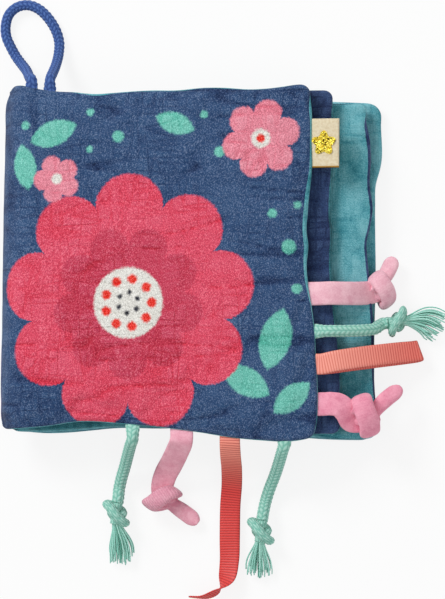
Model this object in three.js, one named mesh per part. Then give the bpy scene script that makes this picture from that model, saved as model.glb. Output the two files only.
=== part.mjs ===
// A baby's cloth tag book, lying closed on its back cover.
//
// Four padded cloth leaves are sewn together along one spine seam. Each leaf is an upper cloth, a lower
// cloth and a pad of wadding between them. Ribbons, knotted cords, a woven label and a cord loop are
// caught in the seam round the front cover.
//
// Units are millimetres. +Z is up, the spine runs along +Y at the left, and the origin is on the flat
// underside of the back cover, straight below the middle of the front cover.

import * as THREE from 'three';
import { mergeVertices } from 'three/addons/utils/BufferGeometryUtils.js';

const Vec = THREE.Vector3;

// The leaves
const SPINE_X = -77.5;        // the seam line that every leaf turns on
const SPINE_Z = 15.1;
const FLANGE_START = 3;       // from the seam line to the edge of a leaf's cloth
const LEAF_HALF = 3.5;        // half the thickness of a padded leaf
const LEAF_PITCH = 7.4;       // from one leaf's middle to the next, 0.4 clear between them
const RIM_HALF = 0.95;        // half the thickness of a leaf where its two cloths are sewn
const CLOTH = 0.8;            // double gauze
const SEAM_GAP = 0.15;        // from the middle of a leaf to the inside of each cloth at the seam
const WADDING_GAP = 0.3;      // from the wadding to each cloth
const BEND_REACH = 15.5;      // how far from the seam line a leaf lies flat
const SPINE_RAMP = 18;        // how far from the spine the pad reaches its full thickness
const EDGE_RAMP = 15;         // and from the other edges
const DRAW_IN = 1.0;          // how far a page's free edge pulls in between its corners
const COVER_CROWN = 0.7;      // how much higher the middle of the front cover stands

// Where the grid lines of a leaf fall, as shares of its width and height, closer near the edges
const ACROSS_LINES = [0, 0.03, 0.07, 0.12, 0.26, 0.46, 0.66, 0.82, 0.92, 0.98, 1];
const UP_LINES = [0, 0.02, 0.07, 0.18, 0.4, 0.62, 0.82, 0.93, 0.98, 1];

// Cords and ribbons
const LOOP_RADIUS = 2.5;      // braided cotton cord of the hanging loop, 5 mm
const CORD_RADIUS = 2.9;      // and of the tags, 5.8 mm
const VELVET_HALF = 5.6;      // velvet ribbon, 11.2 mm wide
const VELVET_THICK = 2.0;
const GROSGRAIN_HALF = 5;     // grosgrain ribbon, 10 mm wide
const GROSGRAIN_THICK = 0.7;
const TASSEL_HIGH = 3.2;      // half the height of a frayed end where it opens
const TAG_GAP = 0.6;          // between a tag's root and the cover's edge
const ROOT_RUN = 2.5;         // straight run of a tag out of the seam
const FACE_GAP = 0.3;         // between two pieces of one cord
const LABEL_LOW = 44;         // the y of the label's lower edge
const LABEL_HIGH = 67.4;      // and of its upper edge

// The overhand knot, in diameters of the rope that it is tied in
const KNOT_ROPE = 10.5;       // rope taken up by the knot
const KNOT_REACH = 1.5;       // from its middle to where it is cut at each end
const CORD_KNOT_PITCH = 4.1;  // mm from strand to strand in a cord's knot, before it is pressed
const CORD_KNOT_PRESS = { shorter: 1.2, lower: 1 };
const VELVET_KNOT_PITCH = 5.5;
const VELVET_KNOT_PRESS = { shorter: 0.72, lower: 0.76 };
const KNOT_CLEAR = 0.6;       // mm between the strands before a knot is pressed flat
const KNOT_SIDES = 8;
const KNOT_RUN = 3;           // straight run of a rope into and out of a knot

const finish = (color, roughness) => new THREE.MeshStandardMaterial({ color, roughness, metalness: 0 });
const denim = finish(0x3d5a8a, 0.9);
const teal = finish(0x4f9aa0, 0.9);
const navy = finish(0x2f3f6b, 0.9);
const wadding = finish(0xf2efe8, 1);
const velvet = finish(0xf4a3c0, 0.8);
const mintCotton = finish(0x7fcfb8, 0.85);
const grosgrain = finish(0xf07860, 0.55);
const wovenLabel = finish(0xecdcc8, 0.8);
const glitter = finish(0xd9b21c, 0.35);
const blueCotton = finish(0x3f5ea5, 0.85);

// Each leaf from the table up: the angle at which it leaves the seam line, the x of its free edge at
// the bottom and the top, the y of its bottom and top edges, first at the spine, then at the free edge,
// and the radius of its corners.
const leaves = [
  { name: 'back_cover', lower: 'back_cover_face', upper: 'back_cover_lining', finishes: [denim, teal],
    angle: -66, free: [100, 103.6], bottom: [-81.2, -87], top: [84.6, 77.2], corner: 7, drawIn: DRAW_IN },
  { name: 'page_2', lower: 'page_2_back', upper: 'page_2_front', finishes: [navy, teal],
    angle: -22, free: [101.6, 98.4], bottom: [-81.2, -85.5], top: [84.4, 76.2], corner: 5, drawIn: DRAW_IN },
  { name: 'page_1', lower: 'page_1_back', upper: 'page_1_front', finishes: [teal, navy],
    angle: 22, free: [88.2, 82.8], bottom: [-80.6, -82.4], top: [84.8, 81.2], corner: 4.5, drawIn: 1.8 },
  { name: 'front_cover', lower: 'front_cover_lining', upper: 'front_cover_face', finishes: [teal, denim],
    angle: 66, free: [78.6, 73.6], bottom: [-79.4, -85], top: [85.6, 83.8], corner: 4.2, drawIn: 2.6,
    crown: COVER_CROWN },
];
leaves.forEach((leaf, level) => { leaf.z = LEAF_HALF + level * LEAF_PITCH; });
const cover = leaves[3];
const SEAM_Z = cover.z;       // the height of the seam round the front cover

// Share of the way from 0 to 1, as the quarter of a circle that a padded edge makes
const roundRise = (share) => Math.sqrt(1 - (1 - Math.min(Math.max(share, 0), 1)) ** 2);
const smoothRise = (share) => THREE.MathUtils.smoothstep(share, 0, 1);
const between = THREE.MathUtils.lerp;

// The y of the cover's top or bottom edge at x, and the x of its free edge at y
const coverShare = (x) => (x - SPINE_X) / (cover.free[0] - SPINE_X);
const coverEdgeY = (side, x) => between(cover[side][0], cover[side][1], coverShare(x));
function coverFreeX(y) {
  const [low, high] = [cover.bottom[1] + cover.corner, cover.top[1] - cover.corner];
  const share = (y - low) / (high - low);
  return between(cover.free[0], cover.free[1], share) - cover.drawIn * Math.sin(Math.PI * share);
}

// A closed body from rows of points on its two sides. Both grids have the same number of rows and points.
function bodyBetween(near, far) {
  const rows = near.length;
  const count = near[0].length;
  const position = [...near.flat(), ...far.flat()].flatMap((p) => [p.x, p.y, p.z]);
  const faces = [];
  const quad = (a, b, c, d) => faces.push(a, b, c, a, c, d);
  const at = (row, k) => row * count + k;
  const other = rows * count;
  for (let row = 0; row + 1 < rows; row += 1) {
    for (let k = 0; k + 1 < count; k += 1) {
      quad(at(row, k), at(row + 1, k), at(row + 1, k + 1), at(row, k + 1));
      quad(other + at(row, k), other + at(row, k + 1), other + at(row + 1, k + 1), other + at(row + 1, k));
    }
  }
  for (let row = 0; row + 1 < rows; row += 1) {
    const last = count - 1;
    quad(at(row, 0), other + at(row, 0), other + at(row + 1, 0), at(row + 1, 0));
    quad(at(row, last), at(row + 1, last), other + at(row + 1, last), other + at(row, last));
  }
  for (let k = 0; k + 1 < count; k += 1) {
    const last = rows - 1;
    quad(at(0, k), at(0, k + 1), other + at(0, k + 1), other + at(0, k));
    quad(at(last, k), other + at(last, k), other + at(last, k + 1), at(last, k + 1));
  }
  return facingOut(position, faces);
}

// An indexed geometry whose faces point out of the body, whichever way round its grid ran
function facingOut(position, faces) {
  let volume = 0;
  const corner = (k) => new Vec().fromArray(position, 3 * faces[k]);
  for (let k = 0; k < faces.length; k += 3) volume += corner(k).dot(corner(k + 1).cross(corner(k + 2)));
  if (volume < 0) {
    for (let k = 0; k < faces.length; k += 3) [faces[k + 1], faces[k + 2]] = [faces[k + 2], faces[k + 1]];
  }
  const geometry = new THREE.BufferGeometry();
  geometry.setAttribute('position', new THREE.Float32BufferAttribute(position, 3));
  geometry.setIndex(faces);
  geometry.computeVertexNormals();
  return geometry;
}

// The middle line of a leaf seen along the spine: a bend out of the seam, then flat at the leaf's level
function leafSection(leaf) {
  const out = new THREE.Vector2(1, 0).rotateAround(new THREE.Vector2(), THREE.MathUtils.degToRad(leaf.angle));
  const seam = new THREE.Vector2(SPINE_X, SPINE_Z);
  const start = seam.clone().addScaledVector(out, FLANGE_START);
  const flat = new THREE.Vector2(SPINE_X + BEND_REACH, leaf.z);
  const bend = new THREE.CubicBezierCurve(
    start,
    start.clone().addScaledVector(out, 0.38 * BEND_REACH),
    flat.clone().sub(new THREE.Vector2(0.55 * BEND_REACH, 0)),
    flat,
  );
  const bendLength = bend.getLength();
  return {
    bendLength,
    width: (freeX) => bendLength + freeX - flat.x,
    // the point and the upward normal at a distance along the line
    at(distance) {
      if (distance >= bendLength) {
        return [new THREE.Vector2(flat.x + distance - bendLength, flat.y), new THREE.Vector2(0, 1)];
      }
      const tangent = bend.getTangentAt(distance / bendLength);
      return [bend.getPointAt(distance / bendLength), new THREE.Vector2(-tangent.y, tangent.x)];
    },
  };
}

// One grid point of a leaf: its place, its normal and half the leaf's thickness there
function leafPoint(leaf, section, across, up) {
  const freeX = between(leaf.free[0], leaf.free[1], up) - leaf.drawIn * Math.sin(Math.PI * up);
  const width = section.width(freeX);
  const distance = across * width;
  const low = between(leaf.bottom[0], leaf.bottom[1], across);
  const high = between(leaf.top[0], leaf.top[1], across);
  const fromEnd = Math.min(distance, width - distance);
  const inset = leaf.corner * (1 - roundRise(fromEnd / leaf.corner));
  const y = between(low + inset, high - inset, up);
  const [place, normal] = section.at(distance);
  const fill = smoothRise(distance / SPINE_RAMP) * roundRise((width - distance) / EDGE_RAMP)
    * roundRise((y - low - inset) / EDGE_RAMP) * roundRise((high - inset - y) / EDGE_RAMP);
  return {
    place: new Vec(place.x, y, place.y),
    normal: new Vec(normal.x, 0, normal.y),
    half: RIM_HALF + (LEAF_HALF - RIM_HALF) * fill,
    crown: (leaf.crown ?? 0) * Math.sin(Math.PI * across) * Math.sin(Math.PI * up),
  };
}

// The three solids of a leaf: its lower cloth, its upper cloth and its wadding
function leafBodies(leaf) {
  const section = leafSection(leaf);
  const grid = ACROSS_LINES.map((across) => UP_LINES.map((up) => leafPoint(leaf, section, across, up)));
  const surface = (points, height) => points.map((row) => row.map(
    (point) => point.place.clone().addScaledVector(point.normal, height(point)),
  ));
  const hollow = (point) => Math.max(SEAM_GAP, point.half - CLOTH);
  const inner = grid.slice(2, -1).map((row) => row.slice(1, -1));
  const pad = (point) => Math.max(hollow(point) - WADDING_GAP, 0.3);
  return {
    lower: bodyBetween(surface(grid, (p) => -p.half), surface(grid, (p) => -hollow(p))),
    upper: bodyBetween(surface(grid, (p) => p.half + p.crown), surface(grid, (p) => hollow(p) + p.crown)),
    wadding: bodyBetween(surface(inner, (p) => -pad(p)), surface(inner, (p) => pad(p) + p.crown)),
  };
}

// A closed body whose outline changes along its length. Each station has a middle, the directions across
// and up, half a width and half a thickness, and outline() gives the shape to scale by them.
function sweptBody(stations, outline) {
  const sides = outline.length;
  const position = [];
  for (const { middle, across, up, half, thick } of stations) {
    for (const [w, t] of outline) {
      const p = middle.clone().addScaledVector(across, w * half).addScaledVector(up, t * thick);
      position.push(p.x, p.y, p.z);
    }
  }
  const faces = [];
  for (let row = 0; row + 1 < stations.length; row += 1) {
    for (let k = 0; k < sides; k += 1) {
      const a = row * sides + k;
      const b = row * sides + (k + 1) % sides;
      faces.push(a, b, b + sides, a, b + sides, a + sides);
    }
  }
  const ends = [stations[0].middle, stations.at(-1).middle];
  ends.forEach((middle, end) => {
    const centre = position.length / 3;
    position.push(middle.x, middle.y, middle.z);
    const first = end * (stations.length - 1) * sides;
    for (let k = 0; k < sides; k += 1) {
      const pair = [first + k, first + (k + 1) % sides];
      faces.push(centre, ...(end ? pair : pair.reverse()));
    }
  });
  return facingOut(position, faces);
}

const circle = (sides) => Array.from({ length: sides }, (_, k) => {
  const turn = 2 * Math.PI * (k + 0.5) / sides;
  return [Math.cos(turn), Math.sin(turn)];
});

// A strip's outline: flat faces with rounded edges
const strip = [[1, 0], [0.93, 0.75], [0.5, 1], [-0.5, 1], [-0.93, 0.75],
  [-1, 0], [-0.93, -0.75], [-0.5, -1], [0.5, -1], [0.93, -0.75]];

// A round cord along hand-placed points
function cordBody(points, radius, steps) {
  const shape = new THREE.Shape(circle(8).map(([x, y]) => new THREE.Vector2(radius * x, radius * y)));
  const extrudePath = new THREE.CatmullRomCurve3(points, false, 'centripetal');
  const geometry = new THREE.ExtrudeGeometry(shape, { steps, bevelEnabled: false, extrudePath });
  geometry.deleteAttribute('normal');
  geometry.deleteAttribute('uv');
  const merged = mergeVertices(geometry, 1e-4);
  return facingOut(Array.from(merged.attributes.position.array), Array.from(merged.index.array));
}

// A ribbon along hand-placed points [x, y, z] with the direction across it at each, and its half width
// and thickness as functions of the share of its length
function ribbonBody(route, steps, halfAt, thickAt) {
  const line = new THREE.CatmullRomCurve3(route.map(({ at }) => new Vec(...at)), false, 'centripetal');
  const lean = new THREE.CatmullRomCurve3(route.map(({ across }) => new Vec(...across)));
  const stations = [];
  for (let k = 0; k <= steps; k += 1) {
    const share = k / steps;
    const tangent = line.getTangent(share);
    const across = lean.getPoint(share).projectOnPlane(tangent).normalize();
    const up = tangent.clone().cross(across).normalize();
    const [half, thick] = [halfAt(share), thickAt(share) / 2];
    stations.push({ middle: line.getPoint(share), across, up, half, thick });
  }
  return sweptBody(stations, strip);
}

// An overhand knot is tied and pulled tight. The rope starts as two strands twisted by three half turns,
// joined at one side by an arc. Its ends are then drawn apart, while no strand may come nearer to
// another than one diameter and none may stretch. The result is its middle line, in diameters, with
// the ends along Z and the arc towards X.
function tieKnot() {
  const radius = 0.8;
  const half = 2;
  const tail = 8;
  const turns = 24;
  const rough = [];
  const run = (from, to) => {
    for (let k = 0; k <= 12; k += 1) {
      const z = between(from, to, k / 12);
      rough.push(new Vec(-radius * Math.max(0, 1 - (Math.abs(z) - half) / 3), 0, z));
    }
  };
  const twist = (start) => {
    for (let k = 1; k < turns; k += 1) {
      const turn = start + 3 * Math.PI * k / turns;
      rough.push(new Vec(radius * Math.cos(turn), radius * Math.sin(turn), half - 2 * half * k / turns));
    }
  };
  run(tail, half);
  twist(Math.PI);
  for (let k = 0; k <= 16; k += 1) {
    const turn = Math.PI * (k / 16 - 0.5);
    rough.push(new Vec(radius + 2.2 * Math.cos(turn), 0, half * Math.sin(turn)));
  }
  twist(0);
  run(-half, -tail);

  const curve = new THREE.CatmullRomCurve3(rough);
  const length = curve.getLength();
  const count = 120;
  const step = length / count;
  const rope = curve.getSpacedPoints(count);
  const apart = Math.ceil(1.55 / step);
  const pulls = 400;
  for (let pull = 0; pull < pulls; pull += 1) {
    const reach = between(tail, (length - KNOT_ROPE) / 2, Math.min(1, pull / (0.7 * pulls)));
    for (let pass = 0; pass < 12; pass += 1) {
      rope[0].set(0, 0, reach);
      rope[count].set(0, 0, -reach);
      relax(rope, step, apart);
    }
  }
  return rope;
}

// One pass over the rope: it straightens a little, its strands push apart and its length is kept
function relax(rope, step, apart) {
  const last = rope.length - 1;
  for (let k = 1; k < last; k += 1) {
    rope[k].lerp(rope[k - 1].clone().add(rope[k + 1]).multiplyScalar(0.5), 0.06);
  }
  for (let a = 0; a <= last; a += 1) {
    for (let b = a + apart; b <= last; b += 1) {
      const gap = rope[a].distanceTo(rope[b]);
      if (gap < 1) {
        const push = rope[b].clone().sub(rope[a]).multiplyScalar(0.5 * (1 - gap) / gap);
        rope[b].add(push);
        rope[a].sub(push);
      }
    }
  }
  const keep = (k) => {
    const link = rope[k + 1].clone().sub(rope[k]);
    link.setLength(0.5 * (link.length() - step));
    rope[k].add(link);
    rope[k + 1].sub(link);
  };
  for (let k = 0; k < last; k += 1) keep(k);
  for (let k = last - 1; k >= 0; k -= 1) keep(k);
}

const knotLine = tieKnot().filter((p) => Math.abs(p.z) < KNOT_REACH || Math.hypot(p.x, p.y) > 0.7);
// The knot placed round a point: the rope runs along heading and the knot's arc rises towards top, and
// hand is 1 or -1 for the two ways to tie it. A pressed knot is shorter along the rope and lower.
// Returns its body, and where and which way the rope enters and leaves it.
function knotBody({ at, heading, top, hand, pitch, shorter, lower }) {
  const centre = new Vec(...at);
  const forward = new Vec(...heading).normalize();
  const rise = new Vec(...top).projectOnPlane(forward).normalize();
  const side = forward.clone().negate().cross(rise).multiplyScalar(hand);
  const press = (p) => centre.clone().addScaledVector(rise, p.x * pitch * lower)
    .addScaledVector(side, p.y * pitch).addScaledVector(forward, -p.z * pitch * shorter);
  const curve = new THREE.CatmullRomCurve3(knotLine, false, 'centripetal');
  const steps = 36;
  const frames = curve.computeFrenetFrames(steps, false);
  const thick = (1 - KNOT_CLEAR / pitch) / 2;
  const stations = Array.from({ length: steps + 1 }, (_, k) => ({
    middle: curve.getPointAt(k / steps),
    across: frames.normals[k],
    up: frames.binormals[k],
    half: thick,
    thick,
  }));
  const loose = sweptBody(stations, circle(KNOT_SIDES));
  const position = loose.attributes.position;
  const placed = [];
  for (let k = 0; k < position.count; k += 1) {
    placed.push(...press(new Vec().fromBufferAttribute(position, k)).toArray());
  }
  console.log(`least gap in this knot ${leastGap(placed, steps).toFixed(2)} mm`);
  const enter = press(curve.getPointAt(0));
  const leave = press(curve.getPointAt(1));
  return {
    body: facingOut(placed, Array.from(loose.index.array)),
    enter,
    enterHeading: press(curve.getPointAt(0.02)).sub(enter).normalize(),
    leave,
    leaveHeading: leave.clone().sub(press(curve.getPointAt(0.98))).normalize(),
  };
}

// The least gap between two strands of a knot, measured between the points of rings that lie well apart
// along the rope
function leastGap(placed, steps) {
  const apart = 9;
  let least = Infinity;
  const point = (ring, k) => new Vec().fromArray(placed, 3 * (ring * KNOT_SIDES + k));
  for (let a = 0; a <= steps; a += 1) {
    for (let b = a + apart; b <= steps; b += 1) {
      for (let k = 0; k < KNOT_SIDES * KNOT_SIDES; k += 1) {
        const from = point(a, k % KNOT_SIDES);
        least = Math.min(least, from.distanceTo(point(b, Math.floor(k / KNOT_SIDES))));
      }
    }
  }
  return least;
}

// The last points of a rope that runs straight into a knot, and the first of one that runs out of it
const intoKnot = (tied) => [FACE_GAP + KNOT_RUN, FACE_GAP]
  .map((back) => tied.enter.clone().addScaledVector(tied.enterHeading, -back).toArray());
const outOfKnot = (tied) => [FACE_GAP, FACE_GAP + KNOT_RUN]
  .map((ahead) => tied.leave.clone().addScaledVector(tied.leaveHeading, ahead).toArray());

// Where a tag of some half width starts, clear of the cover's free edge along its whole width
const freeRoot = (y, half) => Math.max(coverFreeX(y - half), coverFreeX(y + half)) + TAG_GAP;

// The first points of a tag that runs straight out of the cover's free edge, or its top or bottom edge
function outOfFreeEdge(y, z, half) {
  const root = freeRoot(y, half);
  return [[root, y, z], [root + ROOT_RUN, y, z]];
}
function outOfEdge(side, x, z) {
  const outward = side === 'top' ? 1 : -1;
  const root = coverEdgeY(side, x) + outward * TAG_GAP;
  return [[x, root, z], [x, root + outward * ROOT_RUN, z]];
}

// The frayed end of a cord: fluted, opening towards its tip, flatter where it lies on the table
function tasselBody(route, wide, high) {
  const line = new THREE.CatmullRomCurve3(route.map((at) => new Vec(...at)));
  const flutes = circle(16).map(([x, y], k) => (k % 2 ? [x, y] : [0.8 * x, 0.8 * y]));
  const steps = 5;
  const stations = Array.from({ length: steps + 1 }, (_, k) => {
    const share = k / steps;
    const tangent = line.getTangent(share);
    const across = new Vec(-tangent.y, tangent.x, 0).normalize();
    return {
      middle: line.getPoint(share),
      across,
      up: tangent.clone().cross(across).negate(),
      half: between(CORD_RADIUS * 0.9, wide, smoothRise(share)),
      thick: between(CORD_RADIUS * 0.9, high, smoothRise(share)),
    };
  });
  return sweptBody(stations, flutes);
}

const narrowing = (from, to, start) => (share) => between(from, to, smoothRise((share - start) / (1 - start)));

// The parts of the book
const book = new THREE.Group();
function add(name, geometry, material) {
  const mesh = new THREE.Mesh(geometry, material);
  mesh.name = name;
  book.add(mesh);
  return mesh;
}

for (const leaf of leaves) {
  const bodies = leafBodies(leaf);
  add(leaf.lower, bodies.lower, leaf.finishes[0]);
  add(leaf.upper, bodies.upper, leaf.finishes[1]);
  add(`${leaf.name}_wadding`, bodies.wadding, wadding);
}

// The spine seam: a row of stitches drawn tight round the folds of the two spreads
function spineSeam() {
  const [stitches, halfLength] = [24, 76];
  const [drawnTight, betweenStitches] = [1.6, 2.2];
  const profile = [new THREE.Vector2(0, -halfLength)];
  for (let k = 0; k <= stitches; k += 1) {
    const radius = k % 2 ? drawnTight : betweenStitches;
    profile.push(new THREE.Vector2(radius, between(-halfLength, halfLength, k / stitches)));
  }
  profile.push(new THREE.Vector2(0, halfLength));
  const sides = 8;
  const geometry = new THREE.LatheGeometry(profile, sides);
  geometry.deleteAttribute('normal');
  geometry.deleteAttribute('uv');
  const merged = mergeVertices(geometry, 1e-4);
  return facingOut(Array.from(merged.attributes.position.array), Array.from(merged.index.array));
}
const seam = add('spine_seam', spineSeam(), denim);
seam.position.set(SPINE_X, 0, SPINE_Z);

// The hanging loop: both ends are caught in the cover's top seam, and it lies on the table above the book
const loopRoute = [
  ...outOfEdge('top', -63.9, SEAM_Z),
  [-66.1, 90.4, 19.6], [-69.5, 94.6, 11.5], [-74.1, 99, 5], [-77.8, 103, 2.9],
  [-80.9, 107.8, 2.7], [-83, 112.7, 2.7], [-83.3, 117.6, 2.7], [-81.1, 123.5, 2.7], [-76.6, 126.8, 2.7],
  [-71.1, 127.9, 2.7], [-65.1, 126.3, 2.7], [-60, 121.8, 2.7], [-56.9, 115.1, 2.7], [-56.3, 109.2, 3],
  [-56.4, 103.7, 5.4], [-56.4, 97.7, 11], [-56.2, 92.6, 18.6],
  ...outOfEdge('top', -55.7, SEAM_Z).reverse(),
];
add('hanging_loop', cordBody(loopRoute.map((p) => new Vec(...p)), LOOP_RADIUS, 34), blueCotton);

// The woven label: one strip folded in two, its ends in the cover's free seam
function labelBody() {
  const height = LABEL_HIGH - LABEL_LOW;
  const [root, fold] = [freeRoot(LABEL_LOW + height / 2, height / 2), 87.3];
  const [layer, slit] = [0.55, 0.3];
  const outer = slit / 2 + layer;
  const outline = new THREE.Shape();
  outline.moveTo(root, outer);
  outline.lineTo(fold - outer, outer);
  outline.absarc(fold - outer, 0, outer, Math.PI / 2, -Math.PI / 2, true);
  outline.lineTo(root, -outer);
  outline.lineTo(root, -slit / 2);
  outline.lineTo(fold - outer, -slit / 2);
  outline.lineTo(fold - outer, slit / 2);
  outline.lineTo(root, slit / 2);
  outline.closePath();
  const geometry = new THREE.ExtrudeGeometry(outline, { depth: height, bevelEnabled: false, curveSegments: 4 });
  geometry.rotateX(Math.PI / 2);
  geometry.translate(0, LABEL_HIGH, SEAM_Z);
  return geometry;
}
add('label_tag', labelBody(), wovenLabel);

// The glittering round star on the label
function labelMotif() {
  const [points, inner, outer, thick] = [5, 4, 6, 0.35];
  const [x, y, above] = [80.6, 55.6, 0.8];
  const outline = new THREE.Shape(Array.from({ length: 4 * points }, (_, k) => {
    const turn = Math.PI * k / (2 * points);
    const radius = between(inner, outer, 0.5 + 0.5 * Math.cos(points * turn));
    return new THREE.Vector2(radius * Math.sin(turn), radius * Math.cos(turn));
  }));
  const geometry = new THREE.ExtrudeGeometry(outline, { depth: thick, bevelEnabled: false });
  geometry.translate(x, y, SEAM_Z + above);
  return geometry;
}
add('label_motif', labelMotif(), glitter);

// A velvet ribbon tag: the ribbon, the overhand knot tied in it, and its rounded tail
function velvetTag(name, { root, out, ribbon, knot, into, tail }) {
  const tied = knotBody({ ...knot, hand: 1, pitch: VELVET_KNOT_PITCH, ...VELVET_KNOT_PRESS });
  const strand = (VELVET_KNOT_PITCH - KNOT_CLEAR) / 2;
  const neck = 1.6 * strand;
  const route = [
    ...root.map((at) => ({ at, across: out })), ...ribbon,
    ...intoKnot(tied).map((at) => ({ at, across: into })),
  ];
  const body = ribbonBody(route, 13, narrowing(VELVET_HALF, strand, 0.6), narrowing(VELVET_THICK, neck, 0.6));
  add(`${name}_ribbon`, body, velvet);
  add(`${name}_knot`, tied.body, velvet);
  const free = [...outOfKnot(tied).map((at) => ({ at, across: tail[0].across })), ...tail];
  const taper = (share) => between(strand, 3.9, smoothRise(share * 2)) * roundRise((1.06 - share) / 0.3);
  add(`${name}_tail`, ribbonBody(free, 8, taper, narrowing(neck, 2.4, 0)), velvet);
}

velvetTag('pink_upper', {
  root: outOfFreeEdge(-16.1, SEAM_Z, VELVET_HALF),
  out: [0, 1, 0],
  ribbon: [
    { at: [83, -15.9, 24.9], across: [0, 1, 0] },
    { at: [90, -15.8, 22.4], across: [0, 1, 0] },
    { at: [96, -15.9, 17.6], across: [-0.1, 1, 0] },
  ],
  knot: { at: [105.8, -12.8, 6.8], heading: [0.74, 0.38, -0.56], top: [0.6, 0, 0.8] },
  into: [-0.4, 0.9, 0],
  tail: [
    { at: [115.8, -6.2, 3], across: [0.8, -0.5, 0.1] },
    { at: [114.2, 3.2, 2.2], across: [1, 0.1, 0.1] },
  ],
});

velvetTag('pink_lower', {
  root: outOfFreeEdge(-68.7, SEAM_Z, VELVET_HALF),
  out: [0, 1, 0],
  ribbon: [
    { at: [86, -68.6, 26], across: [0, 1, 0] },
    { at: [91, -69.2, 25], across: [0.1, 1, 0.1] },
  ],
  knot: { at: [101, -74.6, 18.6], heading: [0.85, -0.38, -0.36], top: [0.3, 0, 0.95] },
  into: [0.4, 1, 0.1],
  tail: [
    { at: [114, -76, 14.6], across: [0, 1, 0] },
    { at: [117.4, -67, 12], across: [-0.95, 0.3, 0.1] },
  ],
});

velvetTag('pink_bottom', {
  root: outOfEdge('bottom', 13.1, SEAM_Z),
  out: [1, 0, 0],
  ribbon: [
    { at: [11.2, -90.8, 20], across: [1, -0.2, 0] },
    { at: [6.2, -96, 12], across: [1, -0.3, 0] },
    { at: [1.8, -100.2, 7.6], across: [1, -0.3, 0] },
  ],
  knot: { at: [-2, -112.2, 4.4], heading: [-0.1, -0.99, -0.02], top: [0, 0, 1] },
  into: [1, -0.2, 0],
  tail: [
    { at: [-1.6, -123.8, 5.4], across: [1, 0, 0] },
    { at: [4.4, -127, 3.6], across: [0.5, 0.85, 0] },
    { at: [12.6, -127.2, 2.4], across: [0, 1, 0] },
  ],
});

// A braided cord tag: the cord, the overhand knot tied in it, and its frayed end
function cordTag(name, { root, cord, knot, tassel, wide }) {
  const tied = knotBody({ ...knot, top: [0, 0, 1], hand: -1, pitch: CORD_KNOT_PITCH, ...CORD_KNOT_PRESS });
  const route = [...root, ...cord, ...intoKnot(tied)].map((p) => new Vec(...p));
  add(`${name}_cord`, cordBody(route, CORD_RADIUS, 15), mintCotton);
  add(`${name}_knot`, tied.body, mintCotton);
  add(`${name}_tassel`, tasselBody([...outOfKnot(tied), ...tassel], wide, TASSEL_HIGH), mintCotton);
}

cordTag('mint_left', {
  root: outOfEdge('bottom', -12.4, SEAM_Z),
  cord: [[-13.4, -89.4, 20.4], [-15.4, -94.4, 11.6], [-18.2, -99.4, 5], [-21, -104.4, 3.4]],
  knot: { at: [-24.4, -119.4, 4.6], heading: [-0.1, -0.99, 0] },
  tassel: [[-23, -134.4, 4], [-22.6, -143, 3.6]],
  wide: 6.4,
});

cordTag('mint_bottom', {
  root: outOfEdge('bottom', 61.8, SEAM_Z),
  cord: [[60.2, -91.8, 20.4], [57.4, -97.4, 11.6], [54.4, -103, 5], [51.4, -109.4, 3.4]],
  knot: { at: [46.2, -127, 4.6], heading: [-0.16, -0.99, 0] },
  tassel: [[44.6, -141.4, 4], [43.9, -150.7, 3.6]],
  wide: 6.6,
});

cordTag('mint_right', {
  root: outOfFreeEdge(-34, SEAM_Z, CORD_RADIUS),
  cord: [[84.5, -33.4, 25.4], [92, -32.6, 22.6], [98.6, -31.8, 18.2], [102.6, -31.2, 13.4]],
  knot: { at: [112.2, -28, 5.2], heading: [0.95, 0.14, -0.2] },
  tassel: [[126.4, -27, 4], [134, -29.8, 3.6]],
  wide: 7.6,
});

// The grosgrain ribbons: one doubled into a long loop, one single that ends curled on its edge
const grosgrainBody = (route, steps) => ribbonBody(route, steps, () => GROSGRAIN_HALF, () => GROSGRAIN_THICK);
const loopHalf = 0.7;         // from the seam's middle to each layer of the doubled ribbon
const loopY = -49.7;
const rightLoop = [
  ...outOfFreeEdge(loopY, SEAM_Z + loopHalf, GROSGRAIN_HALF),
  [86.1, -48.3, 25.4], [94.7, -46.7, 22.5], [106.1, -44.8, 17], [114.7, -43.4, 11.5], [120.7, -42.5, 7.6],
  [123.2, -42, 5.6], [121.4, -42.6, 3.8], [115, -43.7, 5.6], [106, -45.2, 10.2],
  [98, -46.7, 16], [91, -48, 20.4], [85.4, -49, 23.2],
  ...outOfFreeEdge(loopY, SEAM_Z - loopHalf, GROSGRAIN_HALF).reverse(),
].map((at) => ({ at, across: [-0.15, 0.99, 0] }));
add('coral_right_ribbon', grosgrainBody(rightLoop, 30), grosgrain);

const bottomRibbon = [
  ...outOfEdge('bottom', 35.3, SEAM_Z).map((at) => ({ at, across: [1, 0, 0] })),
  { at: [34.4, -92.4, 20.6], across: [1, 0, 0.05] },
  { at: [33, -98.6, 12], across: [1, 0, 0.15] },
  { at: [31.8, -106, 5.4], across: [0.95, 0, 0.35] },
  { at: [31, -116, 3.3], across: [0.87, 0, 0.48] },
  { at: [31, -131, 3.5], across: [0.85, 0, 0.52] },
  { at: [30.6, -142, 4.2], across: [0.72, 0, 0.7] },
  { at: [28.8, -151, 5.2], across: [0.3, 0, 0.95] },
  { at: [25.4, -156.4, 5.4], across: [0, 0, 1] },
  { at: [19.3, -159.4, 5.4], across: [0, 0, 1] },
  { at: [12.4, -159.4, 5.4], across: [0, 0, 1] },
];
add('coral_bottom_ribbon', grosgrainBody(bottomRibbon, 24), grosgrain);

export default book;
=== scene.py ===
# A baby's cloth tag book: its padded cloth leaves, ribbons, knotted cords, label and hanging loop.
import math

import bpy
import numpy as np
from mathutils import Matrix, Vector


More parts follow.
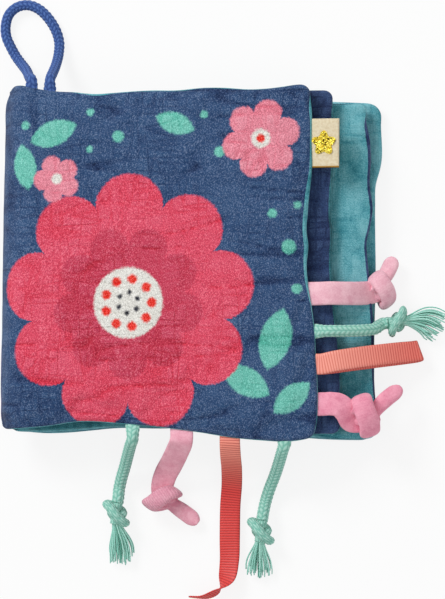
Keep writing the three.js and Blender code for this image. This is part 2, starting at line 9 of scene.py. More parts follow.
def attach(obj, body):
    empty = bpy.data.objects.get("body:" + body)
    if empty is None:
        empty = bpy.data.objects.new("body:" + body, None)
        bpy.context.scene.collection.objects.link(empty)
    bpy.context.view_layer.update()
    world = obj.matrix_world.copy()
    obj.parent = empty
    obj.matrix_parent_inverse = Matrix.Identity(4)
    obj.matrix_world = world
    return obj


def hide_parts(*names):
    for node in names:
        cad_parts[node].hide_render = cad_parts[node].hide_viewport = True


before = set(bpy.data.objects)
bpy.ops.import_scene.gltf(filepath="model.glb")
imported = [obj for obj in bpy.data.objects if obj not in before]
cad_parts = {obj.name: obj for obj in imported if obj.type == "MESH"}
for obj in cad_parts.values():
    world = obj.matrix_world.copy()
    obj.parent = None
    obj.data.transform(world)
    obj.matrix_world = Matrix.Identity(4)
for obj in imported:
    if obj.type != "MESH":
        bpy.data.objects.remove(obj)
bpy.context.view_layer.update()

scene = bpy.context.scene
bpy.ops.object.select_all(action="DESELECT")
MM = 0.001      # shapes are worked out in millimetres, as in the part's source, and made in metres

# The camera looks almost straight down, leaning towards the free edge and a little towards the bottom edge
LEAN_RIGHT = math.radians(13)
LEAN_DOWN = math.radians(5)
ROLL = 0.01                     # radians, because the book lies slightly turned on the table
AIM = Vector((0.0252, -0.0162, 0))
DISTANCE = 3.0
PIXELS_PER_METRE = 2080         # at the point that the camera aims at
IMAGE_HIGH = 599                # pixels
SENSOR = 36

camera_right = Vector((math.cos(LEAN_RIGHT), 0, -math.sin(LEAN_RIGHT)))
camera_up = Vector((math.sin(LEAN_RIGHT) * math.sin(LEAN_DOWN), math.cos(LEAN_DOWN),
                    math.cos(LEAN_RIGHT) * math.sin(LEAN_DOWN)))
camera_back = camera_right.cross(camera_up)
camera_data = bpy.data.cameras.new("camera")
camera_data.sensor_width = SENSOR
camera_data.lens = PIXELS_PER_METRE * DISTANCE * SENSOR / IMAGE_HIGH
camera_data.clip_end = 20
camera = bpy.data.objects.new("camera", camera_data)
scene.collection.objects.link(camera)
turned = Matrix((camera_right, camera_up, camera_back)).transposed().to_4x4()
placed = Matrix.Translation(AIM + DISTANCE * camera_back) @ turned
camera.matrix_world = placed @ Matrix.Rotation(ROLL, 4, "Z")
scene.camera = camera

# Sizes shared with the part's source, in millimetres
SPINE_X, SPINE_Z = -77.5, 15.1      # the seam line that every leaf turns on
BEND_REACH = 15.5                   # how far from the seam line a leaf lies flat
LEAF_PITCH = 7.4                    # from one leaf's middle to the next
LEAF_HALF = 3.5                     # half the thickness of a padded leaf
LOOP_RADIUS, CORD_RADIUS = 2.5, 2.9
VELVET_HALF, VELVET_THICK = 5.6, 2.0
GROSGRAIN_HALF = 5
TASSEL_HIGH = 3.2                   # half the height of a frayed end where it opens
TAG_GAP = 0.6                       # from the cover's edge to a tag's root
ROOT_RUN = 2.5                      # straight run of a tag out of the seam
FACE_GAP = 0.3                      # between two pieces of one cord
KNOT_ROPE, KNOT_REACH = 10.5, 1.5   # rope taken up by a knot, and from its middle to where it is cut
KNOT_RUN = 3                        # straight run of a rope into a knot
CORD_KNOT_PITCH, VELVET_KNOT_PITCH = 4.1, 5.5
SEAM_Z = LEAF_HALF + 3 * LEAF_PITCH     # the height of the seam round the front cover

# The front cover's outline in the part's source. Each side runs from its first number to its second.
COVER_FREE_X, COVER_FREE_Y, COVER_DRAWN_IN = (78.6, 73.6), (-80.8, 79.6), 2.6
COVER_BOTTOM_Y = (-79.4, -85)
COVER_TOP_Y = (85.6, 83.8)


def clamp01(x):
    return np.clip(x, 0.0, 1.0)


def round_rise(share):
    """0 to 1 as a quarter circle: steep at first, level at last."""
    return np.sqrt(1 - (1 - clamp01(share)) ** 2)


def smooth_rise(share):
    """0 to 1, level at both ends."""
    share = clamp01(share)
    return share * share * (3 - 2 * share)


def between(a, b, share):
    return a + (b - a) * share


def unit(v):
    return v / np.maximum(np.linalg.norm(v, axis=-1, keepdims=True), 1e-12)


def through(points, x):
    """A smooth curve y(x) through given points, level beyond them."""
    px, py = np.array(points, float).T
    slope = np.gradient(py, px)
    x = np.clip(x, px[0], px[-1])
    k = np.clip(np.searchsorted(px, x) - 1, 0, len(px) - 2)
    run = px[k + 1] - px[k]
    t = (x - px[k]) / run
    return ((2 * t**3 - 3 * t**2 + 1) * py[k] + (t**3 - 2 * t**2 + t) * run * slope[k]
            + (-2 * t**3 + 3 * t**2) * py[k + 1] + (t**3 - t**2) * run * slope[k + 1])


def noise(x, y, seed):
    """Smooth noise from -1 to 1 with features one unit apart, the same on every run."""
    cells = 64
    grid = np.random.default_rng(seed).uniform(-1, 1, (cells, cells))
    x0, y0 = np.floor(x).astype(int), np.floor(y).astype(int)
    fx, fy = smooth_rise(x - x0), smooth_rise(y - y0)
    at = lambda i, j: grid[(x0 + i) % cells, (y0 + j) % cells]
    return between(between(at(0, 0), at(1, 0), fx), between(at(0, 1), at(1, 1), fx), fy)


# Lines: the middle lines of cords and ribbons

def catmull(points, steps=40):
    """The centripetal curve through given points, as dense points."""
    p = np.array(points, float)
    p = np.vstack([2 * p[0] - p[1], p, 2 * p[-1] - p[-2]])
    pieces = []
    for k in range(1, len(p) - 2):
        p0, p1, p2, p3 = p[k - 1:k + 3]
        d0, d1, d2 = (max(math.sqrt(np.linalg.norm(b - a)), 1e-6) for a, b in ((p0, p1), (p1, p2), (p2, p3)))
        lead = ((p1 - p0) / d0 - (p2 - p0) / (d0 + d1) + (p2 - p1) / d1) * d1
        trail = ((p2 - p1) / d1 - (p3 - p1) / (d1 + d2) + (p3 - p2) / d2) * d1
        t = np.linspace(0, 1, steps, endpoint=False)[:, None]
        pieces.append(p1 + lead * t + (-3 * p1 + 3 * p2 - 2 * lead - trail) * t**2
                      + (2 * p1 - 2 * p2 + lead + trail) * t**3)
    return np.vstack([*pieces, p[-2:-1]])


def lengths_along(line):
    return np.concatenate([[0], np.cumsum(np.linalg.norm(np.diff(line, axis=0), axis=1))])


def evenly(line, step):
    """The line again with its points one step apart, and how far along each point is. Columns after the
    first three, such as a direction across a ribbon, are carried along."""
    far = lengths_along(line[:, :3])
    along = np.linspace(0, far[-1], max(2, round(far[-1] / step) + 1))
    return np.stack([np.interp(along, far, line[:, k]) for k in range(line.shape[1])], axis=1), along


def steady_frames(line, first):
    """At each point the heading, and a side direction carried along without twisting."""
    heading = unit(np.gradient(line, axis=0))
    side = np.zeros_like(line)
    now = np.array(first, float)
    for k, t in enumerate(heading):
        now = now - t * (now @ t)
        now /= np.linalg.norm(now)
        side[k] = now
    return heading, side, np.cross(heading, side)


def nearest_on(line, along, points):
    """How far along a line its nearest point to each of some points is, and how far away that is."""
    far, where = np.empty(len(points)), np.empty(len(points))
    batch = 2000
    for start in range(0, len(points), batch):
        some = slice(start, start + batch)
        gap = np.linalg.norm(points[some, None] - line[None], axis=2)
        where[some] = along[gap.argmin(1)]
        far[some] = gap.min(1)
    return where, far


def make_mesh(name, points, faces, uvs=None, values=None):
    """A mesh object from points in millimetres, facing outwards. Its UV map is a piece's own lie, in metres,
    and its relief attribute one value a point."""
    mesh = bpy.data.meshes.new(name)
    mesh.from_pydata((np.asarray(points) * MM).tolist(), [], [tuple(f) for f in faces])
    if uvs is not None:
        layer = mesh.uv_layers.new(name="lie")
        layer.data.foreach_set("uv", (np.asarray(uvs, np.float32) * MM).ravel())
    if values is not None:
        relief = mesh.attributes.new("relief", "FLOAT", "POINT")
        relief.data.foreach_set("value", np.asarray(values, np.float32))
    mesh.update()
    made = bpy.data.objects.new(name, mesh)
    scene.collection.objects.link(made)
    bpy.context.view_layer.objects.active = made
    made.select_set(True)
    bpy.ops.object.mode_set(mode="EDIT")
    bpy.ops.mesh.select_all(action="SELECT")
    bpy.ops.mesh.normals_make_consistent(inside=False)
    bpy.ops.object.mode_set(mode="OBJECT")
    bpy.ops.object.shade_smooth()
    made.select_set(False)
    return made


def tube_faces(base, rows, sides):
    """The four-sided faces round a tube whose points, ring after ring, start at number base."""
    faces = []
    for row in range(rows - 1):
        for k in range(sides):
            a, b = base + row * sides + k, base + row * sides + (k + 1) % sides
            faces.append([a, b, b + sides, a + sides])
    return faces


def grid_faces(index):
    """The four-sided faces between the points of a grid, from the grid of their numbers."""
    corners = np.stack([index[:-1, :-1], index[1:, :-1], index[1:, 1:], index[:-1, 1:]], -1)
    return corners.reshape(-1, 4)


def loft(name, rings, along, around, values=None):
    """A closed body through rings of points. Its UV map holds the way along and around it."""
    rows, sides = rings.shape[:2]
    row, k = np.meshgrid(np.arange(rows - 1), np.arange(sides), indexing="ij")
    row, k = row.ravel(), k.ravel()
    wrap = np.append(around, around[0] + (around[-1] - around[0]) * sides / (sides - 1))
    uvs = np.stack([np.stack([along[row], wrap[k]], 1), np.stack([along[row], wrap[k + 1]], 1),
                    np.stack([along[row + 1], wrap[k + 1]], 1), np.stack([along[row + 1], wrap[k]], 1)], 1)
    points = np.vstack([rings.reshape(-1, 3), rings[0].mean(0), rings[-1].mean(0)])
    faces = tube_faces(0, rows, sides)
    uvs = uvs.reshape(-1, 2).tolist()
    for ring, centre, order in ((0, rows * sides, -1), (rows - 1, rows * sides + 1, 1)):
        for a in range(sides):
            pair = [ring * sides + a, ring * sides + (a + 1) % sides][::order]
            faces.append([centre, *pair])
            uvs += [[along[ring], wrap[a]]] * 3
    if values is not None:
        values = np.concatenate([np.asarray(values).ravel(), [0.5, 0.5]])
    return make_mesh(name, points, faces, uvs, values)


# The materials' helpers

def srgb(code):
    """Linear colour from an sRGB hex code."""
    parts = [int(code[k:k + 2], 16) / 255 for k in (1, 3, 5)]
    return (*[c / 12.92 if c <= 0.04045 else ((c + 0.055) / 1.055) ** 2.4 for c in parts], 1)


def add(tree, kind, inputs=None, out=0, **settings):
    """Adds a node and returns one of its outputs. Each input is a value, or the output that feeds it."""
    made = tree.nodes.new("ShaderNode" + kind)
    for name, value in settings.items():
        setattr(made, name, value)
    for name, value in (inputs or {}).items():
        socket = made.inputs[name]
        if isinstance(value, bpy.types.NodeSocket):
            tree.links.new(value, socket)
        else:
            socket.default_value = value
    return made.outputs[out] if made.outputs else made


def spots(size):
    """The scale of a noise or cell texture whose spots are about so many millimetres across."""
    return 1 / (size * MM)


def bands(gap):
    """The scale of a wave texture whose bands are so many millimetres apart."""
    return 2 * math.pi / (20 * gap * MM)


def cloth_material(name, color, height, depth, shader):
    """A material with one Principled shader, coloured by color(tree). A height(tree) of one stands depth
    millimetres high."""
    made = bpy.data.materials.new(name)
    made.use_nodes = True
    tree = made.node_tree
    tree.nodes.clear()
    inputs = {"Roughness": 0.9, "Specular IOR Level": 0.3, "Sheen Roughness": 0.5, **shader}
    inputs["Base Color"] = color(tree)
    inputs["Normal"] = add(tree, "Bump", {"Height": height(tree), "Distance": depth * MM, "Strength": 1.0})
    surface = add(tree, "BsdfPrincipled", inputs)
    add(tree, "OutputMaterial", {"Surface": surface})
    return made


# The leaves, from the table up. Edges are listed points along a leaf laid flat: the free edge as
# (y, x), the bottom and top edges as (x, y). A roll is how far the lower cloth comes up over the edge, and
# below zero how far the upper one goes down over it. angle is the way in degrees that a leaf sets off from
# the spine's seam line, corner the radius of its corners, spine how far its spine edge bows sideways, as
# (y, x), and crown how much higher its middle stands.
LEAF_START = 2.2            # from the spine's seam line to the cloth of a leaf
LEAF_HALF_HIGH = 83         # half the length of a leaf along the spine, about
RIM_HALF, RIM_ROUND = 1.0, 1.3      # half a leaf's thickness at its seam, and how soon it has it
SPINE_RAMP, EDGE_RAMP = 18, 15      # how far from the spine and from the other edges the pad is full
CLOTH_THICK = 0.55
GRID_WIDE, GRID_HIGH = 168, 166     # a leaf laid flat, about, to space its grid
GRID_STEP = 2.6             # between the points of a cloth that is simulated
NEAR_EDGE = [0, 0.3, 0.75, 1.35, 2.1, 3.1, 4.4, 6.1, 8.3]     # and closer rows of them along each edge

LEAVES = [
    {"name": "back_cover", "level": 0, "angle": -66, "corner": 7,
     "free": [(-87.1, 100.4), (-79, 101.8), (-72, 102.2), (-65, 101.4), (-45.5, 100.9), (-0.8, 101.3),
              (33, 100.8), (44.9, 101), (54.9, 103.4), (76.8, 103.2)],
     "bottom": [(-79.8, -80.2), (-73, -79.8), (-61.7, -80.6), (-49.8, -80.4), (-37.8, -79.4), (-26, -78.4),
                (-6, -78.7), (10, -78.8), (21.5, -79.8), (39.2, -82.3), (62.7, -83.3), (79.4, -84.4),
                (103.9, -84.8)],
     "top": [(-82, 85), (19, 81.5), (102.6, 77.1)],
     "roll_free": [(-87, -1.2), (78, -1.2)],
     "roll_bottom": [(-80, -0.5), (104, -0.5)],
     "roll_top": [(-80, -0.8), (104, -0.8)],
     "roll_spine": [(-80, 2.2), (80, 2.2)]},
    {"name": "page_2", "level": 1, "angle": -22, "corner": 4,
     "free": [(-85.5, 102), (-79, 104.8), (-73, 105.4), (-66, 103.6), (-55, 102.7), (-33.6, 102.3),
              (-9.8, 100.7), (7.1, 98.9), (15, 98.4), (22, 99.8), (30.9, 101.1), (42.8, 99.8), (58.7, 100),
              (68.7, 99), (75.7, 97.5)],
     "bottom": [(-79.6, -80.1), (-60, -80.5), (-48, -80.3), (-36, -79.4), (-24, -78.4), (-4.4, -78.8),
                (7.5, -78.9), (19.3, -79.1), (23.2, -79.8), (40.9, -82.2), (64.4, -83.3), (80.9, -84.3),
                (95.5, -84.6), (100.8, -84.4)],
     "top": [(-81.8, 84.8), (19, 80.6), (78.7, 76.4), (99.5, 75.9)],
     "roll_free": [(-85, 1), (0, 1.2), (20, 0.9), (40, 1.3), (77, 0.7)],
     "roll_bottom": [(-80, 0.2), (101, 0.2)],
     "roll_top": [(-80, 0.3), (101, 0.3)],
     "roll_spine": [(-80, 0), (80, 0)]},
    {"name": "page_1", "level": 2, "angle": 22, "corner": 4.5,
     "free": [(-82.3, 87.5), (-70, 88), (-50.2, 87.5), (-34.4, 85.6), (-20.5, 84), (-0.7, 82.8), (15.1, 83),
              (23.1, 82.2), (33, 82.2), (43.9, 82.8), (73.7, 82.9), (80.7, 82.5)],
     "bottom": [(-79.3, -80.3), (-65.8, -80.6), (-57.8, -81.3), (-46, -80.9), (-34, -79.9), (-22.3, -79),
                (-6.5, -79.1), (9.2, -79.4), (21, -79.4), (25, -80.1), (42.6, -82.2), (66, -83),
                (86.9, -82.6)],
     "top": [(-81.6, 85.2), (-67, 84.6), (-54, 82.7), (-40, 82.2), (-28, 82.2), (-10, 82.8), (40, 82.2),
             (70, 82.1), (82.5, 82.1)],
     "roll_free": [(-82, 0.9), (-40, 0.6), (0, 1), (40, 0.7), (82, 0.6)],
     "roll_bottom": [(-80, 3), (-66, 4.4), (-54, 5.4), (-36, 5.4), (-18, 4), (0, 2.4), (30, 0.6), (87, 0.4)],
     "roll_top": [(-80, 0.3), (84, 0.3)],
     "roll_spine": [(-80, 0), (80, 0)]},
    {"name": "front_cover", "level": 3, "angle": 66, "corner": 4.2, "crown": 0.7,
     "spine": [(-82, 2.4), (-79.5, -0.6), (-76, -1.9), (-66, -2.5), (-30, -2.5), (30, -2.4), (66, -2.1),
               (74, -2.2), (78, -1.8), (82, -0.4), (86, 1.2)],
     "free": [(-84.5, 76.4), (-79.6, 77.5), (-74.7, 78), (-68.8, 78.2), (-59, 77.9), (-46.1, 77),
              (-33.3, 76.3), (-21.1, 74.8), (-9.6, 73.1), (0.3, 72.7), (7.2, 73.2), (15.2, 72.5),
              (22.1, 72.7), (31, 73.5), (42.9, 74.7), (58.7, 74.5), (71.7, 74.2), (80.6, 73.1)],
     "bottom": [(-79.1, -79.6), (-70, -79.8), (-55.5, -78.9), (-38, -76.6), (-18.4, -77.7), (0.9, -79.5),
                (20.7, -82.1), (35.6, -84.5), (50.4, -86), (64.7, -86.6), (77, -84.8)],
     "top": [(-81.3, 85.5), (-77.3, 86.3), (-71.6, 86.4), (-63.1, 84.6), (-53.1, 83), (-42, 82.3),
             (-34.3, 81.5), (-19.4, 82), (-3.9, 82.6), (7.1, 82.4), (21.5, 83.4), (31.3, 83.2), (43.8, 82.2),
             (55.1, 82.7), (61.1, 83.4), (67.8, 84.2), (73.5, 83.5)],
     "roll_free": [(-84, 0.3), (-33, 0.3), (-20, 0.5), (-9, 1.4), (0, 1.8), (16, 2.2), (23, 2.1), (32, 2.2),
                   (44, 1.4), (60, 0.9), (80, 1)],
     "roll_bottom": [(-80, 0.3), (77, 0.3)],
     "roll_top": [(-80, 0.3), (-42, 0.4), (-33, 1), (-18, 0.4), (0, 0.5), (25, 0.4), (77, 0.3)],
     "roll_spine": [(-80, -2.2), (80, -2.2)]},
]
FRONT = LEAVES[3]


def edge_lines(length):
    """Where grid lines cross a leaf, as shares of its length, closer near its edges."""
    near = np.array(NEAR_EDGE)
    count = round((length - 2 * near[-1]) / GRID_STEP) + 1
    middle = np.linspace(near[-1], length - near[-1], count)
    return np.concatenate([near[:-1], middle, (length - near[:-1])[::-1]]) / length


def leaf_line(leaf):
    """The middle line of a leaf seen along the spine: distances, points and the length of its bend."""
    turn = math.radians(leaf["angle"])
    out = np.array([math.cos(turn), math.sin(turn)])
    start = np.array([SPINE_X, SPINE_Z]) + LEAF_START * out
    flat = np.array([SPINE_X + BEND_REACH, LEAF_HALF + leaf["level"] * LEAF_PITCH])
    a, b = start + 0.38 * BEND_REACH * out, flat - [0.55 * BEND_REACH, 0]
    steps, past_free_edge = 300, 220
    t = np.linspace(0, 1, steps)[:, None]
    bend = (1 - t)**3 * start + 3 * t * (1 - t)**2 * a + 3 * t**2 * (1 - t) * b + t**3 * flat
    line = np.vstack([bend, flat + [1, 0], flat + [past_free_edge, 0]])
    far = lengths_along(line)
    return far, line, far[steps - 1]


def leaf_side(leaf, upper, across, up):
    """The points of a leaf's upper or lower cloth, and how far in from its nearest edge each one lies."""
    far, line, bend_length = leaf_line(leaf)
    flat_x = SPINE_X + BEND_REACH
    width = bend_length + through(leaf["free"], between(-LEAF_HALF_HIGH, LEAF_HALF_HIGH, up)) - flat_x
    distance = across[:, None] * width
    unrolled = flat_x + distance - bend_length
    end = np.minimum(distance, width - distance)
    inset = leaf["corner"] * (1 - round_rise(end / leaf["corner"]))
    low = through(leaf["bottom"], unrolled) + inset
    high = through(leaf["top"], unrolled) - inset
    y = between(low, high, up)
    side = np.full(y.shape, 1.0 if upper else -1.0)
    # Each edge: how far in from it, where along it, how far from its ends, and how soon its roll begins there
    inwards = {}
    for edge, inward, where, others, ease in (
        ("free", width - distance, y, np.minimum(y - low, high - y), 9),
        ("bottom", y - low, unrolled, end, 9),
        ("top", high - y, unrolled, end, 9),
        ("spine", distance, y, np.minimum(y - low, high - y), 3),
    ):
        roll = through(leaf["roll_" + edge], where) * smooth_rise(others / ease)
        slid = (inward if upper else -inward) + roll * np.exp(-(inward / np.maximum(5, 3 * np.abs(roll)))**2)
        side = np.where((slid < 0) == upper, -side, side)
        inwards[edge] = np.abs(slid)
    distance = inwards["spine"] + (width - inwards["free"]) - distance
    y = y + (inwards["bottom"] - (y - low)) - (inwards["top"] - (high - y))
    rim = round_rise(distance / RIM_ROUND)
    pad = smooth_rise(distance / SPINE_RAMP)
    for inward in (inwards["free"], inwards["bottom"], inwards["top"]):
        rim = rim * round_rise(inward / RIM_ROUND)
        pad = pad * round_rise(inward / EDGE_RAMP)
    clear = 0.05
    height = side * (RIM_HALF * rim + (LEAF_HALF - clear - RIM_HALF) * pad)
    if upper and "crown" in leaf:
        height = height + leaf["crown"] * np.sin(np.pi * across)[:, None] * np.sin(np.pi * up)
    on_line = lambda at: np.stack([np.interp(at, far, line[:, 0]), np.interp(at, far, line[:, 1])], -1)
    slope = unit(on_line(distance + 0.2) - on_line(distance - 0.2))
    x, z = np.moveaxis(on_line(distance), -1, 0)
    x, z = x - slope[..., 1] * height, z + slope[..., 0] * height
    if "spine" in leaf:
        x = x + through(leaf["spine"], y) * (1 - smooth_rise((distance - 6) / 25))
    return np.stack([x, y, z], -1)


def leaf_envelope(leaf):
    """Both cloths of a leaf as one closed mesh: its lower cloth's faces have material index 1."""
    across, up = edge_lines(GRID_WIDE), edge_lines(GRID_HIGH)
    top, under = leaf_side(leaf, True, across, up), leaf_side(leaf, False, across, up)
    n, m = len(across), len(up)
    rim = np.ones((n, m), bool)
    rim[1:-1, 1:-1] = False
    top_index = np.arange(n * m).reshape(n, m)
    under_index = top_index.copy()
    under_index[~rim] = n * m + np.arange((~rim).sum())
    points = np.vstack([top.reshape(-1, 3), under[~rim]])
    points[top_index[rim]] = (top[rim] + under[rim]) / 2
    faces = np.vstack([grid_faces(top_index), grid_faces(under_index)[:, ::-1]])
    made = make_mesh(leaf["name"] + "_envelope", points, faces)
    made.data.polygons.foreach_set("material_index", np.repeat([0, 1], len(faces) // 2).astype(np.int32))
    seam = top_index[rim]
    sewn = made.vertex_groups.new(name="sewn")
    sewn.add(seam.tolist(), 1.0, "REPLACE")
    loose = np.setdiff1d(np.arange(len(points)), seam)
    held_by_pad = 0.04
    sewn.add(loose.tolist(), held_by_pad, "REPLACE")
    return made, seam


def points_of(made):
    flat = np.empty(len(made.data.vertices) * 3)
    made.data.vertices.foreach_get("co", flat)
    return flat.reshape(-1, 3) / MM


def normals_of(made):
    flat = np.empty(len(made.data.vertices) * 3)
    made.data.vertices.foreach_get("normal", flat)
    return flat.reshape(-1, 3)


def move_to(made, points):
    made.data.vertices.foreach_set("co", (points * MM).ravel())
    made.data.update()


def puff(made, seam, outward, inward):
    """Cloth simulation: the cloth is a little larger than its seam and is blown up from inside, so that it
    puckers along the edges. Each point then keeps at most so much of its move along its normal, outward for
    the upper and for the lower cloth, and less near the seam, where the stitches hold it."""
    most_sideways, held, eased = 0.8, 0.8, 7        # held and eased: from the seam to where a point is free
    steps = 20
    before, normals = points_of(made), normals_of(made)
    cloth = made.modifiers.new("cloth", "CLOTH")
    settings = cloth.settings
    settings.quality = 4
    settings.mass = 0.15
    settings.tension_stiffness = 12
    settings.compression_stiffness = 12
    settings.shear_stiffness = 4
    settings.bending_stiffness = 0.4
    settings.use_pressure = True
    settings.uniform_pressure_force = 1.5
    settings.shrink_min = -0.035
    settings.vertex_group_mass = "sewn"
    settings.effector_weights.gravity = 0
    cloth.collision_settings.use_collision = False
    for step in range(steps):
        scene.frame_set(step + 1)
    bpy.context.view_layer.objects.active = made
    bpy.ops.object.modifier_apply(modifier="cloth")
    scene.frame_set(1)
    moved = points_of(made) - before
    along = (moved * normals).sum(1)
    sideways = moved - along[:, None] * normals
    far = np.linalg.norm(sideways, axis=1)[:, None]
    sideways *= np.minimum(1, most_sideways / np.maximum(far, 1e-9))
    limits = np.where(normals[:, 2] > 0, outward[0], outward[1])
    _, from_seam = nearest_on(before[seam], np.arange(len(seam)), before)
    free = smooth_rise((from_seam - held) / eased)[:, None]
    move_to(made, before + free * (sideways + np.clip(along, -inward, limits)[:, None] * normals))


def crinkle(x, y, from_edge, seed):
    """How far crinkled double gauze sinks below a smooth cloth, in millimetres: long creases across it,
    short ones up it, puckers square to its edges and soft lumps between them. Also how deep the creases
    are, 0 to 1."""
    # Every length that x or y is divided by is how far apart such creases or lumps are that way
    fold = lambda a, b, number, sharp: (1 - np.abs(noise(a, b, seed + number)))**sharp
    sway = 2.6 * noise(x / 34, y / 30, seed + 7)
    broken = clamp01(0.62 + 1.3 * noise(x / 26, y / 7, seed + 2))
    creases = fold(x / 60, (y + sway) / 6.8, 1, 9) * broken
    uprights = 0.7 * fold((x + sway) / 9, y / 36, 3, 8) * clamp01(0.2 + 1.3 * noise(x / 9, y / 26, seed + 4))
    pucker_reach = 13
    near_ends = clamp01(1 - from_edge[0] / pucker_reach)**1.5
    near_sides = clamp01(1 - from_edge[1] / pucker_reach)**1.5
    puckers = (near_ends * fold(x / 5.4, y / 30, 8, 3) * clamp01(0.6 + noise(x / 8, y / 30, seed + 9))
               + near_sides * fold(x / 30, y / 5.4, 10, 3) * clamp01(0.6 + noise(x / 30, y / 8, seed + 11)))
    depth = clamp01(np.maximum(np.maximum(creases, uprights), puckers))
    lumps = 0.2 * noise(x / 11, y / 7, seed + 5) + 0.08 * noise(x / 4.2, y / 2.6, seed + 6)
    deepest, lowered = 0.5, 0.1
    return deepest * depth - lumps + lowered, depth


def sew_leaf(leaf, seed, outward):
    """Makes a leaf's two cloths as separate shells that meet at the seam."""
    made, seam = leaf_envelope(leaf)
    puff(made, seam, outward, 0.9)
    bpy.context.view_layer.objects.active = made
    subdivided = made.modifiers.new("subdivided", "SUBSURF")
    subdivided.levels = subdivided.render_levels = 1
    bpy.ops.object.modifier_apply(modifier="subdivided")
    points, normals = points_of(made), normals_of(made)
    x, y = points[:, 0], points[:, 1]
    low, high = through(leaf["bottom"], x), through(leaf["top"], x)
    from_edge = np.minimum(y - low, high - y), np.minimum(x - SPINE_X, through(leaf["free"], y) - x)
    flat = smooth_rise((np.abs(normals[:, 2]) - 0.2) / 0.6)
    other_side = 200                    # millimetres away in the noise, so that the two cloths crease apart
    sink, depth = crinkle(x, y + other_side * (normals[:, 2] > 0), from_edge, seed)
    points = points - (sink * flat)[:, None] * normals
    above_table = 0.05
    points[:, 2] = np.maximum(points[:, 2], above_table)
    count = len(made.data.polygons)
    side = np.empty(count, np.int32)
    made.data.polygons.foreach_get("material_index", side)
    corners = np.empty(count * 4, np.int32)
    made.data.loops.foreach_get("vertex_index", corners)
    corners = corners.reshape(-1, 4)
    shells = []
    for which, name in ((0, "upper"), (1, "lower")):
        used, faces = np.unique(corners[side == which], return_inverse=True)
        mesh = bpy.data.meshes.new(leaf["name"] + "_" + name + "_cloth")
        mesh.from_pydata((points[used] * MM).tolist(), [], faces.reshape(-1, 4).tolist())
        crease = mesh.attributes.new("crease", "FLOAT", "POINT")
        crease.data.foreach_set("value", depth[used].astype(np.float32))
        shell = bpy.data.objects.new(mesh.name, mesh)
        scene.collection.objects.link(shell)
        bpy.context.view_layer.objects.active = shell
        shell.select_set(True)
        bpy.ops.object.shade_smooth()
        thick = shell.modifiers.new("thick", "SOLIDIFY")
        thick.thickness = CLOTH_THICK * MM
        thick.offset = -1
        bpy.ops.object.modifier_apply(modifier="thick")
        shell.select_set(False)
        shells.append(shell)
    bpy.data.objects.remove(made)
    return shells


# Cords, ribbons and the overhand knots tied in them

def solid_free_edge(y):
    """The x of the front cover's free edge in the part's source."""
    share = (y - COVER_FREE_Y[0]) / (COVER_FREE_Y[1] - COVER_FREE_Y[0])
    return between(*COVER_FREE_X, share) - COVER_DRAWN_IN * math.sin(math.pi * share)


def root_of(edge, place, z, half=0):
    """The straight start of a tag out of a seam of the front cover, tucked a little way into the leaf. place
    is its y at the free edge and its x at the others, and half is half its width."""
    tuck, under = 2, 0.5
    seam = float(through(FRONT[edge], place))
    if edge == "free":
        start = max(solid_free_edge(place - half), solid_free_edge(place + half)) + TAG_GAP
        return [[min(seam, start) - tuck, place, z - under], [start + ROOT_RUN, place, z - under]]
    outward, side = (1, COVER_TOP_Y) if edge == "top" else (-1, COVER_BOTTOM_Y)
    start = between(*side, (place - SPINE_X) / (COVER_FREE_X[0] - SPINE_X)) + outward * TAG_GAP
    return [[place, outward * min(outward * seam, outward * start) - outward * tuck, z - under],
            [place, start + outward * ROOT_RUN, z - under]]


def tie_knot():
    """An overhand knot pulled tight, as the middle line of a rope one unit thick: two strands twisted by
    three half turns and joined by an arc. The ends are drawn apart while strands push each other away."""
    radius, half, tail, turns = 0.8, 2, 8, 24       # of the twist, half its length, each end, and its steps
    arc_angles = np.linspace(-math.pi / 2, math.pi / 2, 17)
    run = lambda a, b: [(-radius * max(0, 1 - (abs(z) - half) / 3), 0, z) for z in np.linspace(a, b, 13)]
    twist = lambda start: [(radius * math.cos(start + 3 * math.pi * k / turns),
                            radius * math.sin(start + 3 * math.pi * k / turns),
                            half - 2 * half * k / turns) for k in range(1, turns)]
    arc = [(radius + 2.2 * math.cos(a), 0, half * math.sin(a)) for a in arc_angles]
    rough = catmull(run(tail, half) + twist(math.pi) + arc + twist(0) + run(-half, -tail), 20)
    length = lengths_along(rough)[-1]
    count = 120
    rope, _ = evenly(rough, length / count)
    step = length / count
    other_strand = 1.55         # this much rope away, a point counts as another strand
    first, second = np.triu_indices(count + 1, math.ceil(other_strand / step))
    pulls, rounds, stiff, springy = 400, 12, 0.06, 0.3
    for pull in range(pulls):
        reach = between(tail, (length - KNOT_ROPE) / 2, min(1, pull / (0.7 * pulls)))
        for _ in range(rounds):
            rope[0], rope[-1] = (0, 0, reach), (0, 0, -reach)
            rope[1:-1] += stiff * ((rope[:-2] + rope[2:]) / 2 - rope[1:-1])
            link = rope[second] - rope[first]
            gap = np.sqrt((link * link).sum(1))
            close = gap < 1
            push = link[close] * (springy * (1 - gap[close]) / gap[close])[:, None]
            np.add.at(rope, second[close], push)
            np.subtract.at(rope, first[close], push)
            for start in (0, 1, 0, 1):
                link = rope[start + 1::2] - rope[start:-1:2]
                long = np.linalg.norm(link, axis=1, keepdims=True)
                link *= 0.5 * (long - step) / long
                rope[start:-1:2] += link
                rope[start + 1::2] -= link
    return rope


tied_rope = tie_knot()
in_knot = (np.abs(tied_rope[:, 2]) < KNOT_REACH) | (np.hypot(tied_rope[:, 0], tied_rope[:, 1]) > 0.7)
KNOT_LINE = catmull(tied_rope[in_knot], 8)


